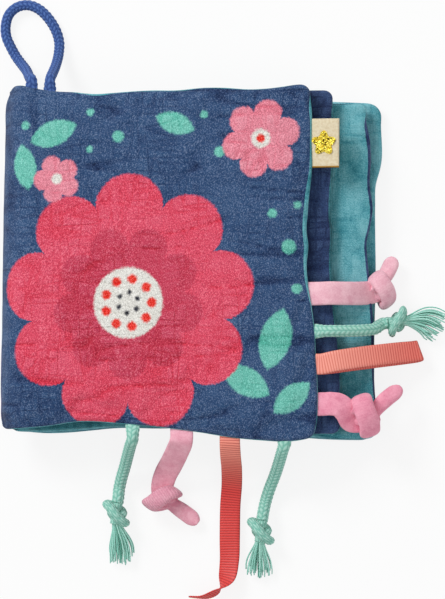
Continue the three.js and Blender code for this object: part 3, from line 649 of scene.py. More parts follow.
class Knot:
    """Where a knot is placed: its middle, the way the rope runs and the side that its arc rises on. pitch is
    the millimetres from strand to strand, shorter, lower and wider are how it is pressed, and hand is 1 or -1
    for the two ways to tie it."""

    def __init__(self, at, heading, top, pitch, shorter, lower, hand, wider=1):
        self.at = np.array(at, float)
        self.pitch = pitch
        forward = unit(np.array(heading, float))
        top = np.array(top, float)
        rise = unit(top - forward * (top @ forward))
        self.rise = rise * pitch * lower
        self.side = hand * wider * np.cross(-forward, rise) * pitch
        self.forward = forward * pitch * shorter
        line = self.placed(KNOT_LINE)
        self.enter, self.leave = line[0], line[-1]
        self.enter_heading = unit(line[6] - line[0])
        self.leave_heading = unit(line[-1] - line[-7])

    def placed(self, points):
        """Points of the knot as tie_knot() leaves it, at its place and size on the tag."""
        up, beside, back = points.T
        return self.at + np.outer(up, self.rise) + np.outer(beside, self.side) - np.outer(back, self.forward)

    def into(self):
        """The last two points of a rope that runs straight into the knot."""
        return [self.enter - self.enter_heading * back for back in (FACE_GAP + KNOT_RUN, 0)]


CORD_SIDES = 48
CORD_STEP = 0.34            # from ring to ring of a braided cord
BRAID_MIDDLE = 0.75         # the height of the braid's relief that lies at the cord's radius
PILE_ROW, PILE_DEEP = 1.25, 0.12    # from one row of velvet pile to the next, and how deep it opens there


def braid_relief(along, turn, columns=8, stitch=2.2):
    """The surface of a round braid: plump slanting stitches in columns that lean left and right by turns."""
    column = turn * columns
    across = column % 1 - 0.5
    lean = np.where(np.floor(column) % 2 < 1, 1, -1)
    half_a_stitch = 0.5 * (np.floor(column / 2) % 2)
    ridge = 0.5 + 0.5 * np.cos(2 * math.pi * (along / stitch + 0.62 * lean * across + half_a_stitch))
    return ridge**0.6 * np.cos(math.pi * across)**0.45


def cord_rings(line, far, turn, side, other):
    """Rings of points round a line, each as far out as far says."""
    angle = 2 * math.pi * turn[None, :, None]
    return line[:, None] + far * (np.cos(angle) * side[:, None] + np.sin(angle) * other[:, None])


def pressed_at_seam(rings, line, heading, from_seam):
    """Rings round a line, flattened where a seam's stitches hold them and round again a little way out."""
    held, eased = 2, 6
    flatter, wider = 0.42, 1.25
    free = smooth_rise((from_seam - held) / eased)[:, None]
    up = unit(np.array([0, 0, 1.0]) - heading * heading[:, 2:])
    beside = np.cross(heading, up)
    off = rings - line[:, None]
    rise, width = (off * up[:, None]).sum(-1), (off * beside[:, None]).sum(-1)
    return (line[:, None] + (rise * between(flatter, 1, free))[..., None] * up[:, None]
            + (width * between(wider, 1, free))[..., None] * beside[:, None])


def braided_cord(name, line, radius, both=False):
    """A braided cord along a line that starts in a seam, and for a loop ends in it too."""
    stitch_deep = 0.36
    line, along = evenly(line, CORD_STEP)
    heading, side, other = steady_frames(line, (0, 0, 1))
    turn = np.arange(CORD_SIDES) / CORD_SIDES
    relief = braid_relief(along[:, None], turn[None])
    far = (radius + stitch_deep * (relief - BRAID_MIDDLE))[..., None]
    rings = cord_rings(line, far, turn, side, other)
    from_seam = np.minimum(along, along[-1] - along) if both else along
    rings = pressed_at_seam(rings, line, heading, from_seam)
    return loft(name, rings, along, turn * 2 * math.pi * radius, relief)


def cord_knot(name, knot):
    """The overhand knot in a braided cord: shaped one unit thick, then pressed as the knot is."""
    tight, stitch_deep = 0.6, 0.22      # the rope's radius, over half a unit so that strands press together
    line, along = evenly(KNOT_LINE, CORD_STEP / knot.pitch)
    _, side, other = steady_frames(line, (0, 1, 0))
    turn = np.arange(CORD_SIDES) / CORD_SIDES
    relief = braid_relief(along[:, None] * knot.pitch, turn[None], columns=12, stitch=3.4)
    far = (tight + stitch_deep / knot.pitch * (relief - BRAID_MIDDLE))[..., None]
    rings = cord_rings(line, far, turn, side, other)
    rings = knot.placed(rings.reshape(-1, 3)).reshape(rings.shape)
    return loft(name, rings, along * knot.pitch, turn * math.pi * knot.pitch, relief)


def velvet_knot(name, knot, tail, rows_open):
    """The overhand knot in a velvet ribbon with its tail: plump where it wraps round, all strands pressed
    into one lump. Its relief attribute is below zero where rows of pile open as the ribbon bends, rows_open
    times as deep as PILE_DEEP."""
    line, along = evenly(KNOT_LINE, 0.07)
    heading = unit(np.gradient(line, axis=0))
    middle = [0.55, 0, 0]
    out = line - middle
    out -= heading * (out * heading).sum(1, keepdims=True)
    outer = smooth_rise((np.linalg.norm(out, axis=1) - 0.3) / 0.5)
    _, steady, _ = steady_frames(line, (0, 1, 0))
    normal = unit(out * outer[:, None] + steady * (1 - outer)[:, None] * 0.3)
    normal = unit(normal - heading * (normal * heading).sum(1, keepdims=True))
    across = np.cross(heading, normal)
    sides = 28
    turn = 2 * math.pi * np.arange(sides) / sides
    wide = (0.5 + 0.5 * outer)[:, None, None]
    thick, squarish = 0.54, 0.8
    c, s = np.cos(turn), np.sin(turn)
    w, t = np.sign(c) * np.abs(c)**squarish, np.sign(s) * np.abs(s)**squarish
    rings = (line[:, None] + wide * w[None, :, None] * across[:, None]
             + thick * t[None, :, None] * normal[:, None])
    rings = knot.placed(rings.reshape(-1, 3)).reshape(rings.shape)
    made = loft(name, rings, along * knot.pitch, w * VELVET_HALF)
    half_wide = lambda share: between(3.2, 3.9, smooth_rise(share * 2)) * round_rise((1.02 - share) / 0.3)
    end = ribbon(name + "_tail", tail, half_wide, narrowing(5, 3.4, 0), 2.6)
    end.select_set(True)
    made.select_set(True)
    bpy.context.view_layer.objects.active = made
    bpy.ops.object.join()
    skin = made.modifiers.new("one skin", "REMESH")
    skin.mode = "VOXEL"
    skin.voxel_size = 0.4 * MM
    skin.use_smooth_shade = True
    soft = made.modifiers.new("soft", "SMOOTH")
    soft.iterations = 7
    for modifier in ("one skin", "soft"):
        bpy.ops.object.modifier_apply(modifier=modifier)
    made.select_set(False)
    where, far = nearest_on(knot.placed(line), along * knot.pitch, points_of(made))
    open_rows = (0.5 - 0.5 * np.cos(2 * math.pi * where / PILE_ROW)) * (1 - smooth_rise((far - 6) / 2))
    rows = made.data.attributes.new("relief", "FLOAT", "POINT")
    rows.data.foreach_set("value", (-PILE_DEEP * rows_open * open_rows).astype(np.float32))
    return made


def ribbon(name, route, half, thick, squareness, step=0.6, across_count=14, relief=None):
    """A ribbon along a route of points and directions across it. half and thick, half its width and its
    thickness, are functions of the share of its length. relief is a function of the millimetres along it and
    the share across it. A high squareness gives it square edges."""
    packed = catmull([list(p) + list(a) for p, a in route], 30)
    dense, along = evenly(packed, step)
    line, lean = dense[:, :3], dense[:, 3:]
    heading = unit(np.gradient(line, axis=0))
    across = unit(lean - heading * (lean * heading).sum(1, keepdims=True))
    normal = np.cross(heading, across)
    share = along / along[-1]
    w = np.sin(np.linspace(-math.pi / 2, math.pi / 2, across_count))
    t = (1 - np.abs(w)**squareness)**(1 / squareness)
    w, t = np.concatenate([w, w[-2:0:-1]]), np.concatenate([t, -t[-2:0:-1]])
    raised = relief(along[:, None], w[None]) if relief else np.zeros((len(along), len(w)))
    lift = np.sign(t) * raised * (np.abs(t) > 0.05)
    height = (thick(share) / 2)[:, None] * t[None] + lift
    rings = (line[:, None] + (half(share)[:, None] * w[None])[..., None] * across[:, None]
             + height[..., None] * normal[:, None])
    return loft(name, rings, along, w * half(np.array([0.0])), raised)


def cut_length(route):
    """The metres of ribbon from a seam to the end of a route."""
    return round(lengths_along(catmull([list(p) for p, _ in route], 30))[-1] * MM, 3)


def narrowing(a, b, start):
    """A function of a ribbon's length that is a, and from the share start on goes to b."""
    return lambda share: between(a, b, smooth_rise((share - start) / (1 - start)))


def frayed_end(name, knot, route, wide, seed):
    """The frayed end of a cord: its yarns fan out of the knot, wide millimetres to each side, and droop on to
    the table. Its UV map holds how far along a yarn a place is, and the number of the yarn."""
    draw = np.random.default_rng(seed)
    inside_knot = 1.5
    middle, far = evenly(catmull([knot.leave - inside_knot * knot.leave_heading, *route], 20), 0.5)
    length = far[-1]
    yarns, sides, stops = 58, 6, 15
    bundle_half = 1.7               # of the yarns where they leave the knot
    golden = 0.618                  # of a turn from yarn to yarn spreads them evenly
    points, faces, uvs = [], [], []
    for number in range(yarns):
        turn = 2 * math.pi * golden * number + draw.uniform(-0.3, 0.3)
        spread = math.sqrt((number + draw.uniform(0, 1)) / yarns)
        reach = length * draw.uniform(0.8, 1.08) * (1 - 0.1 * spread**2)
        thick = draw.uniform(0.32, 0.5)
        phase, sway = draw.uniform(0, 2 * math.pi), draw.uniform(0.1, 0.5)
        share = np.linspace(0, 1, stops)
        at = np.stack([np.interp(np.minimum(share * reach, length), far, middle[:, k]) for k in range(3)], 1)
        heading = unit(np.gradient(middle, axis=0))[-1]
        at += np.outer(np.maximum(share * reach - length, 0), heading)
        forward = unit(np.gradient(at, axis=0))
        across = unit(np.cross([0, 0, 1], forward))
        fan = smooth_rise(share * 1.1)**0.9
        wavy = sway * np.sin(3 * share + phase) * share
        droop = 0.8 * share**2
        sidewards = math.cos(turn) * spread * between(bundle_half, wide, fan) + wavy
        upwards = math.sin(turn) * spread * between(bundle_half, TASSEL_HIGH, fan) - droop
        at = at + across * sidewards[:, None] + np.outer(upwards, [0, 0, 1])
        at[:, 2] = np.maximum(at[:, 2], thick + 0.05)
        _, side, other = steady_frames(at, (0, 0, 1))
        taper = thick * (1 - 0.35 * share)[:, None, None]
        rings = cord_rings(at, taper, np.arange(sides) / sides, side, other)
        base = len(points)
        points += rings.reshape(-1, 3).tolist() + [at[0].tolist(), at[-1].tolist()]
        faces += tube_faces(base, stops, sides)
        for start, end in zip(share[:-1] * reach, share[1:] * reach):
            uvs += [[start, number], [start, number], [end, number], [end, number]] * sides
        for k in range(sides):
            faces.append([base + stops * sides, base + (k + 1) % sides, base + k])
            last = (stops - 1) * sides
            faces.append([base + stops * sides + 1, base + last + k, base + last + (k + 1) % sides])
            uvs += [[0, number]] * 3 + [[reach, number]] * 3
    return make_mesh(name, points, faces, uvs)


# Materials. Patterns are sized in millimetres. A pixel of the render is half a millimetre, so weave, pile and
# fibres, which are 0.02 to 0.5 on the real cloths, are drawn coarser, just large enough to show.
DENIM = "#2b4e7a"
CHAMBRAY_YARN = 0.385       # 0.3 in life
CLOUD = 11.1                # the uneven dye of the chambray
CRINKLE = 2.38              # how soon the edge of a crease wavers
FINE_CREASES = 5.26         # from one of the finest creases to the next
CREASED_PATCH = 22.2        # where there are more of them, and where fewer
CHAMBRAY_PUCKER = 3.85
INK_RAG = 1.11              # how soon the edge of the ink wavers on the weave
INK_SHIFT = 1.6             # from the farthest it wavers one way to the farthest the other way
GAUZE_STREAK, GAUZE_YARN = 9.09, 0.526      # gauze yarns are 0.25 in life
GAUZE_THREADS = 0.785       # from thread to thread of its open weave, 0.5 in life
GAUZE_PUCKER = 5
PILE_PATCH, PILE_GRAIN, PILE_TUFT = 5, 0.588, 0.714     # the pile's leaning patches, and tufts of 0.1 in life
FIBRE = 0.667               # cotton fibres are 0.02 in life
STRAND_FIBRE = 1.11
FIBRE_RIDGE = 0.556
TAPE_GRAIN, TAPE_THREADS = 1.11, 0.628      # tape yarns are 0.2 in life
FLAKE = 0.588               # glitter flakes, 0.4 in life
TUFT = 2.5                  # of wadding, and of the glitter's uneven glue
LABEL_LOW, LABEL_HIGH = 44.0, 67.4


def flat_place(tree):
    """The place on the cloth seen from above, with the ragged edge that ink takes on a coarse weave."""
    where = add(tree, "TexCoord", out=3)
    ragged = add(tree, "TexNoise", {"Vector": where, "Scale": spots(INK_RAG), "Detail": 1.0}, out=1)
    centred = add(tree, "VectorMath", {0: ragged, 1: (0.5, 0.5, 0.5)}, operation="SUBTRACT")
    most = (INK_SHIFT * MM, INK_SHIFT * MM, 0)
    small = add(tree, "VectorMath", {0: centred, 1: most}, operation="MULTIPLY")
    moved = add(tree, "VectorMath", {0: where, 1: small}, operation="ADD")
    return add(tree, "VectorMath", {0: moved, 1: (1, 1, 0)}, operation="MULTIPLY")


def printed(tree, far, soft=0.6):
    """1 where far, the distance outside a motif's edge, is below zero."""
    return add(tree, "MapRange", {"Value": far, "From Min": soft * MM, "From Max": -soft * MM})


def blossom(tree, where, centre, petals, inner, outer, turn=0.0):
    """The distance outside a flower with round petals, between two radii in millimetres."""
    local = add(tree, "Mapping", {"Vector": where, "Location": (centre[0] * MM, centre[1] * MM, 0),
                                  "Rotation": (0, 0, math.radians(turn))}, vector_type="TEXTURE")
    x = add(tree, "SeparateXYZ", {"Vector": local})
    y = x.node.outputs[1]
    angle = add(tree, "Math", {0: y, 1: x}, operation="ARCTAN2")
    wave = add(tree, "Math", {0: angle, 1: petals / 2}, operation="MULTIPLY")
    lobe = add(tree, "Math", {0: add(tree, "Math", {0: wave}, operation="COSINE")}, operation="ABSOLUTE")
    plump = add(tree, "Math", {0: lobe, 1: 0.55}, operation="POWER")
    edge = add(tree, "Math", {0: plump, 1: (outer - inner) * MM, 2: inner * MM}, operation="MULTIPLY_ADD")
    radius = add(tree, "VectorMath", {0: local}, out=1, operation="LENGTH")
    return add(tree, "Math", {0: radius, 1: edge}, operation="SUBTRACT")


def dots(tree, where, circles):
    """The distance outside the nearest of some circles, each x, y and radius in millimetres."""
    nearest = None
    for x, y, radius in circles:
        far = add(tree, "VectorMath", {0: where, 1: (x * MM, y * MM, 0)}, out=1, operation="DISTANCE")
        edge = add(tree, "Math", {0: far, 1: radius * MM}, operation="SUBTRACT")
        nearest = edge if nearest is None else add(tree, "Math", {0: nearest, 1: edge}, operation="MINIMUM")
    return nearest


def sprig(tree, where, leaves):
    """The distance outside the nearest of some pointed leaves, each x, y, length and angle."""
    nearest = None
    for x, y, length, turn in leaves:
        bulge = 0.62 * length
        away = math.sqrt(bulge**2 - (length / 2)**2)
        sides = []
        for sign in (1, -1):
            a = math.radians(turn + 90)
            centre = ((x + sign * away * math.cos(a)) * MM, (y + sign * away * math.sin(a)) * MM, 0)
            sides.append(add(tree, "VectorMath", {0: where, 1: centre}, out=1, operation="DISTANCE"))
        far = add(tree, "Math", {0: sides[0], 1: sides[1]}, operation="MAXIMUM")
        edge = add(tree, "Math", {0: far, 1: bulge * MM}, operation="SUBTRACT")
        nearest = edge if nearest is None else add(tree, "Math", {0: nearest, 1: edge}, operation="MINIMUM")
    return nearest


def cloth_ink(tree):
    """The print on the front cover: a big raspberry flower and a few small motifs on blue."""
    where = flat_place(tree)
    mint, raspberry, deep_raspberry, pink = "#6fc5b5", "#e24a66", "#ce3c5a", "#e88a9c"
    cream, scarlet, ink_blue = "#e8e6df", "#ee2a10", "#1c1f2e"
    big, upper, left = (-14, -20), (50, 58), (-50, 40)      # the middles of the three flowers

    def ring(count, far, radius, start=0.0):
        turns = [2 * math.pi * k / count + start for k in range(count)]
        return [(big[0] + far * math.cos(t), big[1] + far * math.sin(t), radius) for t in turns]

    layers = [
        (sprig(tree, where, [(58, -38, 30, 75), (44, -58, 26, 150), (66, -66, 22, 40), (-52, 62, 24, 20),
                             (-66, 46, 22, 100), (8, 66, 20, 160)]), mint),
        (dots(tree, where, [(64, 6, 3.4), (56, 22, 2.2), (68, 26, 1.7), (30, 52, 2.6), (22, 70, 1.8),
                            (-20, 60, 2.8), (-34, 72, 1.8), (68, -14, 2.4), (-66, 66, 2),
                            (-34, 54, 1.6)]), mint),
        (blossom(tree, where, big, 9, 47, 62, 10), raspberry),
        (blossom(tree, where, big, 9, 27, 37, 30), deep_raspberry),
        (dots(tree, where, [(*big, 17)]), cream),
        (dots(tree, where, ring(9, 11.5, 2.3)), scarlet),
        (dots(tree, where, ring(6, 5, 1.2, 0.4)), ink_blue),
        (blossom(tree, where, upper, 6, 12.5, 19, 15), pink),
        (dots(tree, where, [(*upper, 4.6)]), cream),
        (dots(tree, where, [(*upper, 2)]), scarlet),
        (blossom(tree, where, left, 5, 7.5, 11.5, 40), pink),
        (dots(tree, where, [(*left, 2.6)]), cream),
    ]
    ink = srgb(DENIM)
    for far, code in layers:
        ink = add(tree, "Mix", {0: printed(tree, far), 6: ink, 7: srgb(code)}, out=2, data_type="RGBA")
    return ink


def creases(tree):
    """How deep the cloth lies in a crease of its crinkled double gauze, 0 to 1: the long ones as sew_leaf()
    left them, and the finest ones, too thin for its mesh, as broken lines up and across the cloth."""
    depth = add(tree, "Attribute", out=2, attribute_name="crease")
    where = add(tree, "TexCoord", out=3)
    broken = add(tree, "TexNoise", {"Vector": where, "Scale": spots(CRINKLE), "Detail": 3.0,
                                    "Roughness": 0.6})
    centred = add(tree, "Math", {0: broken, 1: 0.5}, operation="SUBTRACT")
    ragged = add(tree, "Math", {0: centred, 1: 0.9, 2: depth}, operation="MULTIPLY_ADD")
    deepest = add(tree, "MapRange", {"Value": ragged, "From Min": 0.18, "From Max": 1.0})
    patches = add(tree, "TexNoise", {"Vector": where, "Scale": spots(CREASED_PATCH), "Detail": 2.0})
    weight = add(tree, "MapRange", {"Value": patches, "From Min": 0.4, "From Max": 0.6,
                                    "To Min": 0.1, "To Max": 0.6})
    for stretch in ((1.0, 0.14, 1.0), (0.14, 1.0, 1.0)):
        drawn = add(tree, "Mapping", {"Vector": where, "Scale": stretch})
        wave = add(tree, "TexNoise", {"Vector": drawn, "Scale": spots(FINE_CREASES), "Detail": 1.0,
                                      "Roughness": 0.4})
        above = add(tree, "Math", {0: wave, 1: 0.5}, operation="SUBTRACT")
        off = add(tree, "Math", {0: above}, operation="ABSOLUTE")
        line = add(tree, "MapRange", {"Value": off, "From Min": 0.055, "From Max": 0.0})
        fine = add(tree, "Math", {0: line, 1: weight}, operation="MULTIPLY")
        deepest = add(tree, "Math", {0: deepest, 1: fine}, operation="MAXIMUM")
    return deepest


def twill_lie(tree):
    """Lines up the noise of yarns with the cloth's twill, which runs up to the left."""
    where = add(tree, "TexCoord", out=3)
    turned = add(tree, "Mapping", {"Vector": where, "Rotation": (0, 0, math.radians(35))})
    return add(tree, "Mapping", {"Vector": turned, "Scale": (1.0, 0.5, 1.0)})


def chambray(tree, ink):
    """Chambray: white and coloured yarns in a fine twill, so that any colour on it is flecked, and deeper
    where a crease shades it."""
    where = add(tree, "TexCoord", out=3)
    yarn = add(tree, "TexNoise", {"Vector": twill_lie(tree), "Scale": spots(CHAMBRAY_YARN), "Detail": 1.0,
                                  "Roughness": 0.6})
    cloud = add(tree, "TexNoise", {"Vector": where, "Scale": spots(CLOUD), "Detail": 5.0, "Roughness": 0.6})
    shade = add(tree, "MapRange", {"Value": yarn, "From Min": 0.3, "From Max": 0.7,
                                   "To Min": 0.66, "To Max": 1.24})
    varied = add(tree, "HueSaturation", {"Color": ink, "Value": shade})
    light = add(tree, "MapRange", {"Value": yarn, "From Min": 0.5, "From Max": 0.72,
                                   "To Min": 0.0, "To Max": 0.2})
    flecked = add(tree, "Mix", {0: light, 6: varied, 7: srgb("#e2e6ee")}, out=2, data_type="RGBA")
    drift = add(tree, "MapRange", {"Value": cloud, "From Min": 0.3, "From Max": 0.7,
                                   "To Min": 1.1, "To Max": 0.92})
    uneven = add(tree, "Gamma", {"Color": flecked, "Gamma": drift})
    # painted shade: the colour is deepened where the cloth lies in a crease
    deeper = add(tree, "MapRange", {"Value": creases(tree), "To Min": 1.0, "To Max": 1.48})
    return add(tree, "Gamma", {"Color": uneven, "Gamma": deeper})


def chambray_height(tree):
    """Yarns, soft puckers under them, and the creases sunk in."""
    where = add(tree, "TexCoord", out=3)
    yarn = add(tree, "TexNoise", {"Vector": twill_lie(tree), "Scale": spots(CHAMBRAY_YARN), "Detail": 1.0})
    pucker = add(tree, "TexNoise", {"Vector": where, "Scale": spots(CHAMBRAY_PUCKER), "Detail": 3.0})
    cloth = add(tree, "Math", {0: pucker, 1: 3.0, 2: yarn}, operation="MULTIPLY_ADD")
    return add(tree, "Math", {0: creases(tree), 1: -1.6, 2: cloth}, operation="MULTIPLY_ADD")


def gauze(light, middle, dark):
    """Double gauze in one dye: an open plain weave whose two layers show through each other in streaks."""
    def color(tree):
        where = add(tree, "TexCoord", out=3)
        streaked = add(tree, "Mapping", {"Vector": where, "Scale": (1.0, 0.35, 1.0)})
        cloud = add(tree, "TexNoise", {"Vector": streaked, "Scale": spots(GAUZE_STREAK), "Detail": 4.0,
                                       "Roughness": 0.6})
        yarn = add(tree, "TexNoise", {"Vector": where, "Scale": spots(GAUZE_YARN), "Detail": 1.0,
                                      "Roughness": 0.8})
        tone = add(tree, "Math", {0: yarn, 1: 0.8, 2: cloud}, operation="MULTIPLY_ADD")
        lit = add(tree, "MapRange", {"Value": tone, "From Min": 0.8, "From Max": 1.18})
        shaded = add(tree, "MapRange", {"Value": tone, "From Min": 0.92, "From Max": 0.62})
        mid = add(tree, "Mix", {0: lit, 6: srgb(middle), 7: srgb(light)}, out=2, data_type="RGBA")
        cloth = add(tree, "Mix", {0: shaded, 6: mid, 7: srgb(dark)}, out=2, data_type="RGBA")
        # painted shade: the colour is deepened where the cloth lies in a crease
        deeper = add(tree, "MapRange", {"Value": creases(tree), "To Min": 1.0, "To Max": 1.5})
        return add(tree, "Gamma", {"Color": cloth, "Gamma": deeper})
    return color


def gauze_height(tree):
    """Threads that cross in an open weave, soft puckers under them, and the creases sunk in."""
    where = add(tree, "TexCoord", out=3)
    threads = {"Vector": where, "Scale": bands(GAUZE_THREADS), "Distortion": 1.5, "Detail": 1.0}
    warp = add(tree, "TexWave", threads, out=1)
    weft = add(tree, "TexWave", threads, out=1, bands_direction="Y")
    pucker = add(tree, "TexNoise", {"Vector": where, "Scale": spots(GAUZE_PUCKER), "Detail": 3.0})
    weave = add(tree, "Math", {0: warp, 1: weft}, operation="MULTIPLY")
    cloth = add(tree, "Math", {0: pucker, 1: 4.0, 2: weave}, operation="MULTIPLY_ADD")
    return add(tree, "Math", {0: creases(tree), 1: -1.6, 2: cloth}, operation="MULTIPLY_ADD")


def pile(deep, pale):
    """Velvet: the pile leans this way and that, so its colour shifts in soft patches, and shows as fine
    rows, darkened by painted shade, where the ribbon is bent over a knot."""
    def color(tree):
        where = add(tree, "TexCoord", out=3)
        brushed = add(tree, "TexNoise", {"Vector": where, "Scale": spots(PILE_PATCH), "Detail": 4.0,
                                         "Roughness": 0.65})
        grain = add(tree, "TexNoise", {"Vector": where, "Scale": spots(PILE_GRAIN), "Detail": 1.0})
        tone = add(tree, "Math", {0: grain, 1: 0.45, 2: brushed}, operation="MULTIPLY_ADD")
        share = add(tree, "MapRange", {"Value": tone, "From Min": 0.55, "From Max": 0.9})
        soft = add(tree, "Mix", {0: share, 6: srgb(deep), 7: srgb(pale)}, out=2, data_type="RGBA")
        row = add(tree, "Attribute", out=2, attribute_name="relief")
        # painted shade in the rows of pile that open where the ribbon bends
        open_row_shade = add(tree, "MapRange", {"Value": row, "From Min": 0.0, "From Max": -PILE_DEEP,
                                              "To Min": 0.0, "To Max": 0.7})
        return add(tree, "Mix", {0: open_row_shade, 6: soft, 7: srgb("#d0809a")}, out=2, data_type="RGBA")
    return color


def pile_height(tree):
    """The tufts of the pile, with the open rows sunk in."""
    where = add(tree, "TexCoord", out=3)
    nap = add(tree, "TexNoise", {"Vector": where, "Scale": spots(PILE_TUFT), "Detail": 2.0})
    row = add(tree, "Attribute", out=2, attribute_name="relief")
    return add(tree, "Math", {0: row, 1: 12.0, 2: nap}, operation="MULTIPLY_ADD")


def yarns(light, dark):
    """Braided cotton: each stitch is painted pale on its crown and dark where it dives under the next,
    painted shade from its relief.
    """
    def color(tree):
        relief = add(tree, "Attribute", out=2, attribute_name="relief")
        where = add(tree, "TexCoord", out=3)
        fibre = add(tree, "TexNoise", {"Vector": where, "Scale": spots(FIBRE), "Detail": 2.0})
        # painted shade: the colour darkens with the relief, deepest in the grooves between stitches
        tone = add(tree, "Math", {0: fibre, 1: 0.6, 2: relief}, operation="MULTIPLY_ADD")
        share = add(tree, "MapRange", {"Value": tone, "From Min": 0.3, "From Max": 1.15})
        return add(tree, "Mix", {0: share, 6: srgb(dark), 7: srgb(light)}, out=2, data_type="RGBA")
    return color


def strands(tree):
    """Unbraided yarns: some paler, some deeper, each with finer fibres along it."""
    lie = add(tree, "TexCoord", out=2)
    number = add(tree, "SeparateXYZ", {"Vector": lie}, out=1)
    chance = add(tree, "TexWhiteNoise", {"W": number}, out=0, noise_dimensions="1D")
    where = add(tree, "TexCoord", out=3)
    fibre = add(tree, "TexNoise", {"Vector": where, "Scale": spots(STRAND_FIBRE), "Detail": 2.0})
    tone = add(tree, "Math", {0: fibre, 1: 0.5, 2: chance}, operation="MULTIPLY_ADD")
    share = add(tree, "MapRange", {"Value": tone, "From Min": 0.2, "From Max": 1.2})
    return add(tree, "Mix", {0: share, 6: srgb("#80cab8"), 7: srgb("#baecdf")}, out=2, data_type="RGBA")


def fibre_height(tree):
    where = add(tree, "TexCoord", out=3)
    return add(tree, "TexNoise", {"Vector": where, "Scale": spots(FIBRE_RIDGE), "Detail": 2.0})


def ribs(light, dark, seam_highlight, fade):
    """Grosgrain: each rib's crown is painted bright, a painted highlight, with painted shade in the deeper
    red between them. The third colour is a painted highlight near the seam, and fade the two distances from
    the seam between which it goes."""
    def color(tree):
        relief = add(tree, "Attribute", out=2, attribute_name="relief")
        # painted highlight on the rib crowns and painted shade between them
        share = add(tree, "MapRange", {"Value": relief, "From Min": 0.04, "From Max": 0.16})
        ribbed = add(tree, "Mix", {0: share, 6: srgb(dark), 7: srgb(light)}, out=2, data_type="RGBA")
        along = add(tree, "SeparateXYZ", {"Vector": add(tree, "TexCoord", out=2)})
        # painted highlight: the third colour, strongest near the seam and on the rib crowns
        near = add(tree, "MapRange", {"Value": along, "From Min": fade[0] * MM, "From Max": fade[1] * MM,
                                      "To Min": 0.9, "To Max": 0.0})
        crown = add(tree, "MapRange", {"Value": share, "To Min": 0.35, "To Max": 1.0})
        crowned = add(tree, "Math", {0: near, 1: crown}, operation="MULTIPLY")
        return add(tree, "Mix", {0: crowned, 6: ribbed, 7: srgb(seam_highlight)}, out=2, data_type="RGBA")
    return color


def tape(tree):
    """Fine woven tape in cream, with a brown and gold selvedge along its lower edge."""
    where = add(tree, "TexCoord", out=3)
    grain = add(tree, "TexNoise", {"Vector": where, "Scale": spots(TAPE_GRAIN), "Detail": 2.0})
    share = add(tree, "MapRange", {"Value": grain, "From Min": 0.35, "From Max": 0.65})
    cream = add(tree, "Mix", {0: share, 6: srgb("#e0cfac"), 7: srgb("#ebdfc2")}, out=2, data_type="RGBA")
    up = add(tree, "SeparateXYZ", {"Vector": where}, out=1)
    edge = add(tree, "MapRange", {"Value": up, "From Min": (LABEL_LOW + 0.9) * MM,
                                  "From Max": (LABEL_LOW + 0.5) * MM})
    return add(tree, "Mix", {0: edge, 6: cream, 7: srgb("#b8862f")}, out=2, data_type="RGBA")


def tape_height(tree):
    where = add(tree, "TexCoord", out=3)
    threads = {"Vector": where, "Scale": bands(TAPE_THREADS), "Distortion": 0.5}
    return add(tree, "TexWave", threads, out=1, bands_direction="Y")


def flakes(tree):
    """Glitter: flat gold flakes at every angle, with dark gaps between them."""
    where = add(tree, "TexCoord", out=3)
    cell = add(tree, "TexVoronoi", {"Vector": where, "Scale": spots(FLAKE)}, out=1)
    chance = add(tree, "SeparateColor", {"Color": cell})
    warm = add(tree, "Mix", {0: chance, 6: srgb("#d8b10e"), 7: srgb("#fff06a")}, out=2, data_type="RGBA")
    gap = add(tree, "Math", {0: chance.node.outputs[1], 1: 0.16}, operation="LESS_THAN")
    return add(tree, "Mix", {0: gap, 6: warm, 7: srgb("#6b5706")}, out=2, data_type="RGBA")


def tufts(tree):
    where = add(tree, "TexCoord", out=3)
    return add(tree, "TexNoise", {"Vector": where, "Scale": spots(TUFT), "Detail": 4.0})


def white_fibre(tree):
    """Polyester wadding: loose white fibre in tufts, with painted shade making it greyer in the hollows
    between them.
    """
    # painted shade: the same tufts as the relief, greyer where they are low
    share = tufts(tree)
    return add(tree, "Mix", {0: share, 6: srgb("#e6e2d8"), 7: srgb("#f8f6f0")}, out=2, data_type="RGBA")


MATT = {"Sheen Weight": 0.1}
NAP = {"Sheen Weight": 0.4, "Sheen Tint": srgb("#ffe3ea")}
SATIN = {"Roughness": 0.5, "Specular IOR Level": 0.5}

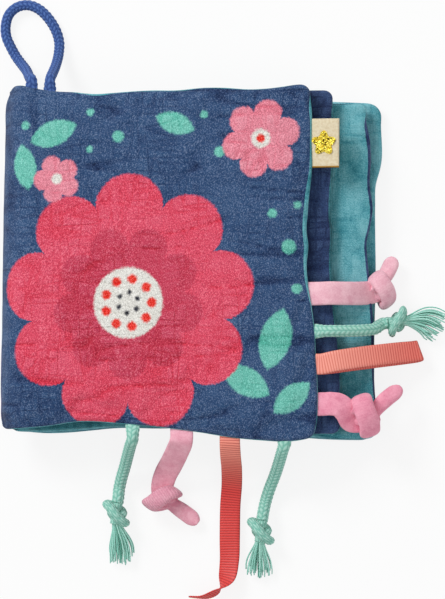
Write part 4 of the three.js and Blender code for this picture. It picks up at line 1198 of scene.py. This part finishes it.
# Each finish: its material's name, its colours, its relief, how high that stands, and its shader's settings
FINISHES = {
    # Cotton double gauze in a chambray weave: matt, crinkled, and flecked all over by its white yarns
    "printed_chambray": ("printed_chambray", lambda t: chambray(t, cloth_ink(t)), chambray_height, 0.2, MATT),
    "plain_chambray": ("plain_chambray", lambda t: chambray(t, srgb(DENIM)), chambray_height, 0.2, MATT),
    # Dyed double gauze: thin, matt and streaky, with painted shade deepening its creases. The teal cloth
    # that lies under the cover's shadow is a darker copy of the teal gauze, painted shade for that shadow.
    "teal_gauze": ("teal_gauze", gauze("#8ac8d1", "#66aeba", "#3a8e9c"), gauze_height, 0.2, MATT),
    "teal_gauze_painted_shade": ("teal_gauze_painted_shade", gauze("#5a9fa9", "#387a85", "#245c67"), gauze_height, 0.2, MATT),
    "navy_gauze": ("navy_gauze", gauze("#4a6490", "#33476f", "#24345a"), gauze_height, 0.2, MATT),
    # Velvet ribbon: soft, pale where its pile catches the light, and deeper the more the pile lies away. The
    # deeper and deepest copies are the same pink velvet with painted shade.
    "pink_velvet": ("pink_velvet", pile("#eaaabb", "#fbcad5"), pile_height, 0.12, NAP),
    "velvet_painted_shade": ("pink_velvet_painted_shade", pile("#e89cb0", "#f9bccb"), pile_height, 0.12, NAP),
    "velvet_painted_deep_shade": ("pink_velvet_painted_deep_shade", pile("#e68aa4", "#f9aabf"), pile_height, 0.12, NAP),
    # Braided cotton cord: matt plump stitches, with painted shade where they dive under each other
    "mint_braid": ("mint_cotton_braid", yarns("#b0dfd1", "#78bcab"), fibre_height, 0.2, MATT),
    "mint_strands": ("mint_cotton_strands", strands, fibre_height, 0.1, MATT),
    "blue_braid": ("blue_cotton_braid", yarns("#5070ae", "#284483"), fibre_height, 0.2, MATT),
    # Grosgrain ribbon: crosswise ribs of a smooth yarn, with a low satin shine. Its two finishes are lit and
    # shaded copies of one coral ribbon: the darker one is painted shade.
    "coral_grosgrain": ("coral_grosgrain", ribs("#ee7c70", "#d44e42", "#ffaa98", (12, 50)), fibre_height,
                        0.05, SATIN),
    "coral_grosgrain_painted_shade": ("coral_grosgrain_in_painted_shade", ribs("#e6423d", "#ae1f22", "#ffa28e", (12, 36)), fibre_height,
                      0.05, SATIN),
    # Woven cotton tape: smooth, close and cream
    "woven_tape": ("woven_cotton_tape", tape, tape_height, 0.1, {}),
    # Glitter: gold flakes that flash one by one
    "gold_glitter": ("gold_glitter", flakes, tufts, 0.4, {"Roughness": 0.35, "Metallic": 0.6}),
    # Polyester wadding: white and fluffy, hidden in the leaves
    "wadding": ("polyester_wadding", white_fibre, tufts, 0.8, {}),
    # Sewing thread: a fine twisted yarn with a light and a dark side
    "seam_thread": ("blue_sewing_thread", yarns("#4c669c", "#2b3f66"), fibre_height, 0.1, {}),
}
FINISH = {finish: cloth_material(*values) for finish, values in FINISHES.items()}


def dress(piece, body, finish, *nodes, slot=None):
    """Gives a finished piece its material, lets it ride and puts it in its solids' place. Its slot is not
    used.
    """
    piece.data.materials.clear()
    piece.data.materials.append(FINISH[finish])
    piece.data.polygons.foreach_set("material_index", np.zeros(len(piece.data.polygons), np.int32))
    slot or finish
    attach(piece, body)
    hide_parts(*nodes)
    return piece


# The hanging loop and the cord tags
loop_route = [
    *root_of("top", -64.4, SEAM_Z), [-66.9, 90.4, 19.6], [-70.4, 94.6, 11.5], [-74.8, 99, 5],
    [-78.2, 103, 2.9], [-81, 107.8, 2.7], [-83.2, 112.7, 2.7], [-83.7, 118, 2.7], [-82.1, 123.6, 2.7],
    [-78.2, 127.1, 2.7], [-72.8, 128.1, 2.7], [-67.3, 126.1, 2.7], [-62.1, 121.2, 2.7], [-58.2, 114.8, 2.7],
    [-56.6, 109.2, 3], [-56.2, 103.7, 5.4], [-56, 97.7, 11], [-55.7, 92.6, 18.6],
    *root_of("top", -55.2, SEAM_Z)[::-1],
]
loop_line = catmull(loop_route)
loop = braided_cord("hanging_loop_braid", loop_line, LOOP_RADIUS, both=True)
dress(loop, "hanging_loop", "blue_braid", "hanging_loop")


def declare_cord(piece, line, radius, far_end, *others):
    path, along = evenly(line, 1.5)


declare_cord(loop, loop_line, LOOP_RADIUS, "object")

CORD_TAGS = {
    "mint_left": {
        "root": root_of("bottom", -12.4, SEAM_Z),
        "cord": [[-14.2, -87.4, 21.6], [-17.2, -91.8, 14.6], [-20.2, -97.2, 8.4], [-22.8, -103, 4.8],
                 [-24, -107.4, 3.6]],
        "knot": {"at": [-24.4, -119.4, 4.6], "heading": [-0.1, -0.99, 0]},
        "end": [[-23, -134.4, 4], [-22.6, -143, 3.6]], "wide": 6.4},
    "mint_bottom": {
        "root": root_of("bottom", 61.8, SEAM_Z),
        "cord": [[59.8, -91.4, 21.2], [56.8, -96.2, 14.4], [53.5, -101.8, 8.4], [50.2, -108, 4.8],
                 [48.2, -113.6, 3.6]],
        "knot": {"at": [46.8, -128, 4.6], "heading": [-0.1, -0.99, 0]},
        "end": [[45.3, -141.4, 4], [45, -149, 3.6]], "wide": 6.6},
    "mint_right": {
        "root": root_of("free", -34, SEAM_Z, CORD_RADIUS),
        "cord": [[84.5, -34, 25.4], [92, -33.8, 22.6], [98.6, -33.2, 18.2], [102.6, -32.2, 13.4]],
        "knot": {"at": [112.2, -28.4, 5.2], "heading": [0.95, 0.14, -0.2], "shorter": 0.72},
        "end": [[126.2, -28.2, 4], [133.4, -31.8, 3.6]], "wide": 8.4},
}
CORD_KNOT_PRESS = {"shorter": 0.86, "lower": 0.95, "wider": 1.08}
for seed, (name, tag) in enumerate(CORD_TAGS.items(), 3):
    knot = Knot(top=[0, 0, 1], pitch=CORD_KNOT_PITCH, hand=-1, **{**CORD_KNOT_PRESS, **tag["knot"]})
    line = catmull(tag["root"] + tag["cord"] + [p.tolist() for p in knot.into()])
    cord = braided_cord(name + "_braid", line, CORD_RADIUS)
    tied = cord_knot(name + "_overhand_knot", knot)
    frayed = frayed_end(name + "_yarns", knot, tag["end"], tag["wide"], seed)
    for piece, node, finish in ((cord, "_cord", "mint_braid"), (tied, "_knot", "mint_braid"),
                                (frayed, "_tassel", "mint_strands")):
        dress(piece, name + "_tag", finish, name + node, slot="mint_braid")
    declare_cord(cord, line, CORD_RADIUS, "knot", tied, frayed)


# The velvet ribbon tags
VELVET_TAGS = {
    "pink_upper": {
        "root": root_of("free", -16.1, SEAM_Z, VELVET_HALF), "out": [0, 1, 0],
        "ribbon": [([83, -15.9, 24.9], [0, 1, 0]), ([90, -15.8, 21.8], [0, 1, 0]),
                   ([96, -15.4, 16.4], [0, 1, 0]), ([100.6, -14.6, 11], [0, 1, 0]),
                   ([103.6, -13.6, 7.6], [0, 1, 0])],
        "knot": {"at": [103.6, -13.2, 7.2], "heading": [0.8, -0.26, -0.54], "top": [0.5, 0, 0.85],
                 "wider": 0.86},
        "rows": 0.2, "finish": "pink_velvet",
        "tail": [([104.4, -10, 7.4], [0.9, -0.3, 0]), ([107.2, -4.6, 6.4], [0.9, -0.35, 0]),
                 ([110, 2.6, 4.4], [1, -0.2, 0])]},
    "pink_lower": {
        "root": root_of("free", -68.7, SEAM_Z, VELVET_HALF), "out": [0, 1, 0],
        "ribbon": [([84, -68.6, 26], [0, 1, 0]), ([88.6, -69.4, 25.8], [0.15, 1, 0]),
                   ([91.6, -72.6, 24.4], [0.6, 0.8, 0]), ([93.6, -76.4, 21.6], [0.6, 0.8, 0]),
                   ([97.6, -77, 18.4], [0, 1, 0])],
        "knot": {"at": [99.2, -73.8, 18.4], "heading": [0.8, -0.5, -0.33], "top": [0.2, 0, 0.95],
                 "shorter": 0.9, "wider": 0.95},
        # painted shade: this ribbon takes the deepest copy of the pink velvet
        "rows": 0.2, "finish": "velvet_painted_deep_shade",
        "tail": [([103, -73, 18.4], [-0.6, 0.8, 0]), ([108.4, -66.6, 16.6], [-0.65, 0.75, 0]),
                 ([115.6, -60.2, 12.6], [-0.6, 0.8, 0])]},
    "pink_bottom": {
        "root": root_of("bottom", 11.6, SEAM_Z), "out": [1, 0, 0],
        "ribbon": [([8.4, -90.6, 20], [1, -0.3, 0]), ([3.8, -96, 12.6], [1, -0.3, 0]),
                   ([-0.2, -101, 7.8], [1, -0.3, 0]), ([-2.4, -107, 5.8], [1, 0, 0]),
                   ([-2.4, -111.4, 5], [1, 0, 0])],
        "knot": {"at": [-1.7, -112.2, 4.8], "heading": [-0.1, -0.99, -0.02], "top": [0, 0, 1],
                 "shorter": 0.62, "wider": 0.94},
        # painted shade: this ribbon takes a deeper copy of the pink velvet
        "rows": 1.0, "finish": "velvet_painted_shade",
        "tail": [([0.6, -113.6, 5], [0.6, 0.8, 0]), ([8, -118.6, 4.2], [0.6, 0.8, 0]),
                 ([15, -123.8, 2.8], [0.6, 0.8, 0])]},
}
VELVET_KNOT_PRESS = {"shorter": 0.72, "lower": 0.76}


def velvet_thickness(share):
    """Thin where the seam holds the ribbon, and gathered thick where it goes into the knot."""
    return narrowing(VELVET_THICK, 3, 0.7)(share) * between(0.6, 1, smooth_rise(share / 0.2))


for name, tag in VELVET_TAGS.items():
    knot = Knot(pitch=VELVET_KNOT_PITCH, hand=1, **{**VELVET_KNOT_PRESS, **tag["knot"]})
    route = [(p, tag["out"]) for p in tag["root"]] + tag["ribbon"]
    band = ribbon(name + "_velvet", route, narrowing(VELVET_HALF, 5, 0.8), velvet_thickness, 3.2)
    tied = velvet_knot(name + "_overhand_knot", knot, tag["tail"], tag["rows"])
    dress(band, name + "_tag", tag["finish"], name + "_ribbon", slot="pink_velvet")
    dress(tied, name + "_tag", tag["finish"], name + "_knot", name + "_tail", slot="pink_velvet")
    cut_length(route)


# The grosgrain ribbon tags
RIB = 1.25                  # from one rib to the next, 0.8 in life, drawn coarser to be seen
RIB_HIGH = 0.17
GROUND_THICK = 0.5          # the ribbon between its ribs
SQUARE_EDGES = 9


def rib_relief(along, across):
    return RIB_HIGH * np.abs(np.sin(math.pi * along / RIB))**0.7 * np.ones_like(across)


def grosgrain(name, route):
    constant = lambda value: lambda share: np.full(np.shape(share), float(value))
    return ribbon(name, route, constant(GROSGRAIN_HALF), constant(GROUND_THICK), SQUARE_EDGES, step=RIB / 5,
                  across_count=8, relief=rib_relief)


loop_half = 0.7             # half the height of the doubled ribbon at its seam, from middle to middle
loop_root = root_of("free", -49.7, SEAM_Z, GROSGRAIN_HALF)
right_loop = [
    *[[p[0], p[1], p[2] + loop_half] for p in loop_root],
    [86.1, -48.3, 25.4], [94.7, -46.7, 22.5], [106.1, -44.8, 17], [114.7, -43.4, 11.5],
    [120.7, -42.5, 7.6], [123.2, -42, 5.6], [121.4, -42.6, 3.8], [115, -43.7, 5.6], [106, -45.2, 10.2],
    [98, -46.7, 16], [91, -48, 20.4], [85.4, -49, 23.2],
    *[[p[0], p[1], p[2] - loop_half] for p in loop_root[::-1]],
]
# Its fold is turned a little further round than the rest
right_loop = [(p, [-0.15 - 0.22 * float(smooth_rise((p[0] - 112) / 11)), 0.99, 0]) for p in right_loop]
coral_loop = grosgrain("coral_right_grosgrain", right_loop)
dress(coral_loop, "coral_right_tag", "coral_grosgrain", "coral_right_ribbon")
cut_length(right_loop)

bottom_route = [(p, [1, 0, 0]) for p in root_of("bottom", 35.3, SEAM_Z)] + [
    ([34.6, -92.4, 20.6], [1, 0, -0.05]), ([33.3, -98.6, 12], [1, 0, -0.05]), ([31.9, -106, 5.4], [1, 0, 0]),
    ([30.8, -116, 3.3], [1, 0, 0]), ([30.7, -131, 3.3], [1, 0, 0]), ([30.7, -142, 3.6], [0.98, 0.1, 0.15]),
    ([29.6, -150.4, 4.6], [0.9, 0.3, 0.3]), ([26, -156, 5.4], [0.5, 0.4, 0.75]),
    ([19.3, -159.4, 5.4], [0, 0.1, 1]), ([12.4, -159.4, 5.4], [0, 0, 1]),
]
coral_long = grosgrain("coral_bottom_grosgrain", bottom_route)
# painted shade: the bottom ribbon takes the darker copy of the coral grosgrain
dress(coral_long, "coral_bottom_tag", "coral_grosgrain_painted_shade", "coral_bottom_ribbon", slot="coral_grosgrain")
cut_length(bottom_route)


# The folded label and the glitter star on it
def folded_label():
    """A piece of tape folded in two, as its section drawn out along y, with its slit between the layers."""
    root, fold = 73.6, 87.3
    layer, slit = 0.5, 0.35
    outer, inner = slit / 2 + layer, slit / 2
    bend = fold - outer             # where the flat layers end and the fold begins
    turn = np.linspace(math.pi / 2, -math.pi / 2, 13)[1:-1]
    run = np.linspace(root, bend, 12)
    section = np.array(
        [(x, outer) for x in run] + [(bend + outer * math.cos(a), outer * math.sin(a)) for a in turn]
        + [(x, -outer) for x in run[::-1]]
        + [(x, -inner) for x in run] + [(bend + inner * math.cos(a), inner * math.sin(a)) for a in turn[::-1]]
        + [(x, inner) for x in run[::-1]])
    rows = np.linspace(LABEL_LOW, LABEL_HIGH, 24)
    sag = 0.25 * noise(section[None, :, 0] / 9, rows[:, None] / 8, 91)
    x, y = np.broadcast_arrays(section[None, :, 0], rows[:, None])
    rings = np.stack([x, y, SEAM_Z + section[:, 1] + sag], -1)
    return loft("folded_label_tape", rings, rows, np.arange(len(section)) * 0.5)


label = folded_label()
dress(label, "label", "woven_tape", "label_tag")

STAR = np.array([80, 55.6])
STAR_SPAN = 11.6            # across the grid of flakes that the star is shaped from


def glitter_star():
    """A low five-lobed star of loose flakes on the label."""
    bpy.ops.mesh.primitive_grid_add(x_subdivisions=26, y_subdivisions=26, size=STAR_SPAN * MM,
                                    location=(STAR[0] * MM, STAR[1] * MM, (SEAM_Z + 1.0) * MM))
    star = bpy.context.object
    star.name = "gold_glitter_star"
    bpy.ops.object.transform_apply(location=True, rotation=True, scale=True)
    p = points_of(star)
    local = p[:, :2] - STAR
    angle = np.arctan2(local[:, 0], local[:, 1])
    reach = between(4, 6, 0.5 + 0.5 * np.cos(5 * angle))
    share = np.maximum(np.abs(local).max(1), 1e-6) / (STAR_SPAN / 2)
    p[:, :2] = STAR + unit(local) * (share * reach)[:, None]
    p[:, 2] += np.random.default_rng(5).uniform(-0.16, 0.16, len(p))
    move_to(star, p)
    thick = star.modifiers.new("thick", "SOLIDIFY")
    thick.thickness = 0.35 * MM
    thick.offset = 0
    bpy.ops.object.modifier_apply(modifier="thick")
    star.select_set(False)
    return star


dress(glitter_star(), "label", "gold_glitter", "label_motif")


# The spine: the roll of cloth that the leaves are sewn to, and the threads that close it
SPINE_HALF = 76
SPINE_RADIUS = 1.5


def ladder_stitches():
    """The last seam of the book, closed by hand: short threads side by side along the spine's outside."""
    sides, stops, thread_radius, stitch_gap = 6, 7, 0.24, 3.6
    points, faces = [], []
    for y in np.arange(-72, 73, stitch_gap):
        t = np.linspace(0, 1, stops)
        bow = 0.05 + 0.16 * np.sin(np.pi * t)
        line = np.stack([SPINE_X - SPINE_RADIUS - bow, y + 0.2 * t, SPINE_Z - 1.5 + 3 * t], 1)
        _, side, other = steady_frames(line, (0, 1, 0))
        rings = cord_rings(line, thread_radius, np.arange(sides) / sides, side, other)
        base = len(points)
        points += rings.reshape(-1, 3).tolist()
        faces += tube_faces(base, stops, sides)
        faces.append([base + k for k in range(sides)][::-1])
        faces.append([base + (stops - 1) * sides + k for k in range(sides)])
    return make_mesh("spine_ladder_stitches", points, faces)


def spine_roll():
    """A thin roll of cloth, a little uneven and rounded at its ends."""
    y = np.linspace(-SPINE_HALF, SPINE_HALF, 120)
    turn = 2 * math.pi * np.arange(20) / 20
    far = SPINE_RADIUS + 0.12 * noise(y[:, None] / 3, 3 * turn[None] / math.pi, 45)
    ends = round_rise((y + SPINE_HALF) / 2) * round_rise((SPINE_HALF - y) / 2)
    far = far * (0.15 + 0.85 * ends[:, None])
    rings = np.stack([SPINE_X + far * np.cos(turn), np.broadcast_to(y[:, None], far.shape),
                      SPINE_Z + far * np.sin(turn)], -1)
    return loft("spine_cloth_roll", rings, y, turn * SPINE_RADIUS)


dress(spine_roll(), "back_cover", "plain_chambray", "spine_seam", slot="seam_thread")
dress(ladder_stitches(), "back_cover", "seam_thread")


# The leaves: the finish, the solid and the slot of each one's upper cloth, and then of its lower one
CLOTHS = {
    "back_cover": (("teal_gauze", "back_cover_lining", "teal_gauze"),
                   ("plain_chambray", "back_cover_face", "printed_chambray")),
    "page_2": (("teal_gauze", "page_2_front", "teal_gauze"),
               ("navy_gauze", "page_2_back", "navy_gauze")),
    "page_1": (("navy_gauze", "page_1_front", "navy_gauze"),
               # painted shade: page 1's lower cloth is the teal gauze made darker for the front cover's
               # shadow
               ("teal_gauze_painted_shade", "page_1_back", "teal_gauze")),
    "front_cover": (("printed_chambray", "front_cover_face", "printed_chambray"),
                    ("teal_gauze", "front_cover_lining", "teal_gauze")),
}


def wadding_pad(leaf):
    """The pad inside a leaf: the middle of its thickness, a little short of its seams."""
    share = np.linspace(0.06, 0.94, 40)
    top, under = leaf_side(leaf, True, share, share), leaf_side(leaf, False, share, share)
    middle, half = (top + under) / 2, (top - under) / 2
    half = half * 0.5 * smooth_rise(share * 6)[:, None, None]
    tuft = 1 + 0.1 * noise(top[..., :1] / 6, top[..., 1:2] / 6, 70 + leaf["level"])
    top, under = middle + half * tuft, middle - half * tuft
    count = len(share)
    index = np.arange(count * count).reshape(count, count)
    below = count * count
    quads = grid_faces(index)
    faces = quads.tolist() + (quads[:, ::-1] + below).tolist()
    border = np.concatenate([index[0, :], index[1:, -1], index[-1, -2::-1], index[-2:0:-1, 0]])
    for a, b in zip(border, np.roll(border, -1)):
        faces.append([a, b, b + below, a + below])
    points = np.vstack([top.reshape(-1, 3), under.reshape(-1, 3)])
    return make_mesh(leaf["name"] + "_wadding_pad", points, faces)


COVER_PUFF, PAGE_PUFF = (0.8, 0.15), (0.15, 0.15)   # how far the upper and the lower cloth may be blown out
for leaf in LEAVES:
    name = leaf["name"]
    seed = 10 * leaf["level"] + 10
    shells = sew_leaf(leaf, seed, COVER_PUFF if leaf is FRONT else PAGE_PUFF)
    for shell, (finish, node, slot) in zip(shells, CLOTHS[name]):
        dress(shell, name, finish, node, slot=slot)
    pad = wadding_pad(leaf)
    dress(pad, name, "wadding", name + "_wadding")


# The floor and the light
def pale_floor():
    """Pale paper under the book that the camera sees as white, apart from the book's shadow."""
    bpy.ops.mesh.primitive_plane_add(size=8, location=(0, 0, -0.0002))
    floor = bpy.context.object
    floor.name = "floor"
    made = bpy.data.materials.new("pale_studio_paper")
    made.use_nodes = True
    tree = made.node_tree
    tree.nodes.clear()
    paper = add(tree, "BsdfDiffuse", {"Color": (0.86, 0.86, 0.86, 1)})
    glow = add(tree, "Emission", {"Color": (1, 1, 1, 1), "Strength": 1.0})
    seen_by_camera = add(tree, "LightPath", out=0)
    share = add(tree, "Math", {0: seen_by_camera, 1: 0.86}, operation="MULTIPLY")
    both = add(tree, "MixShader", {0: share, 1: paper, 2: glow})
    add(tree, "OutputMaterial", {"Surface": both})
    floor.data.materials.append(made)
    floor.select_set(False)


def soft_light(name, place, size, power):
    """A square lamp that points at the middle of the book."""
    lamp = bpy.data.lights.new(name, "AREA")
    lamp.shape = "SQUARE"
    lamp.size = size
    lamp.energy = power
    made = bpy.data.objects.new(name, lamp)
    scene.collection.objects.link(made)
    made.location = place
    made.rotation_euler = (-Vector(place)).to_track_quat("-Z", "Y").to_euler()


pale_floor()
soft_light("key", (-0.9, 1.1, 1.3), 0.8, 24)
soft_light("fill", (1.0, -0.8, 1.6), 1.2, 5)
world = bpy.data.worlds.new("studio")
world.use_nodes = True
scene.world = world
world.node_tree.nodes.clear()
background = add(world.node_tree, "Background", {"Color": (1, 1, 1, 1), "Strength": 0.5})
add(world.node_tree, "OutputWorld", {"Surface": background})
scene.view_settings.view_transform = "Standard"
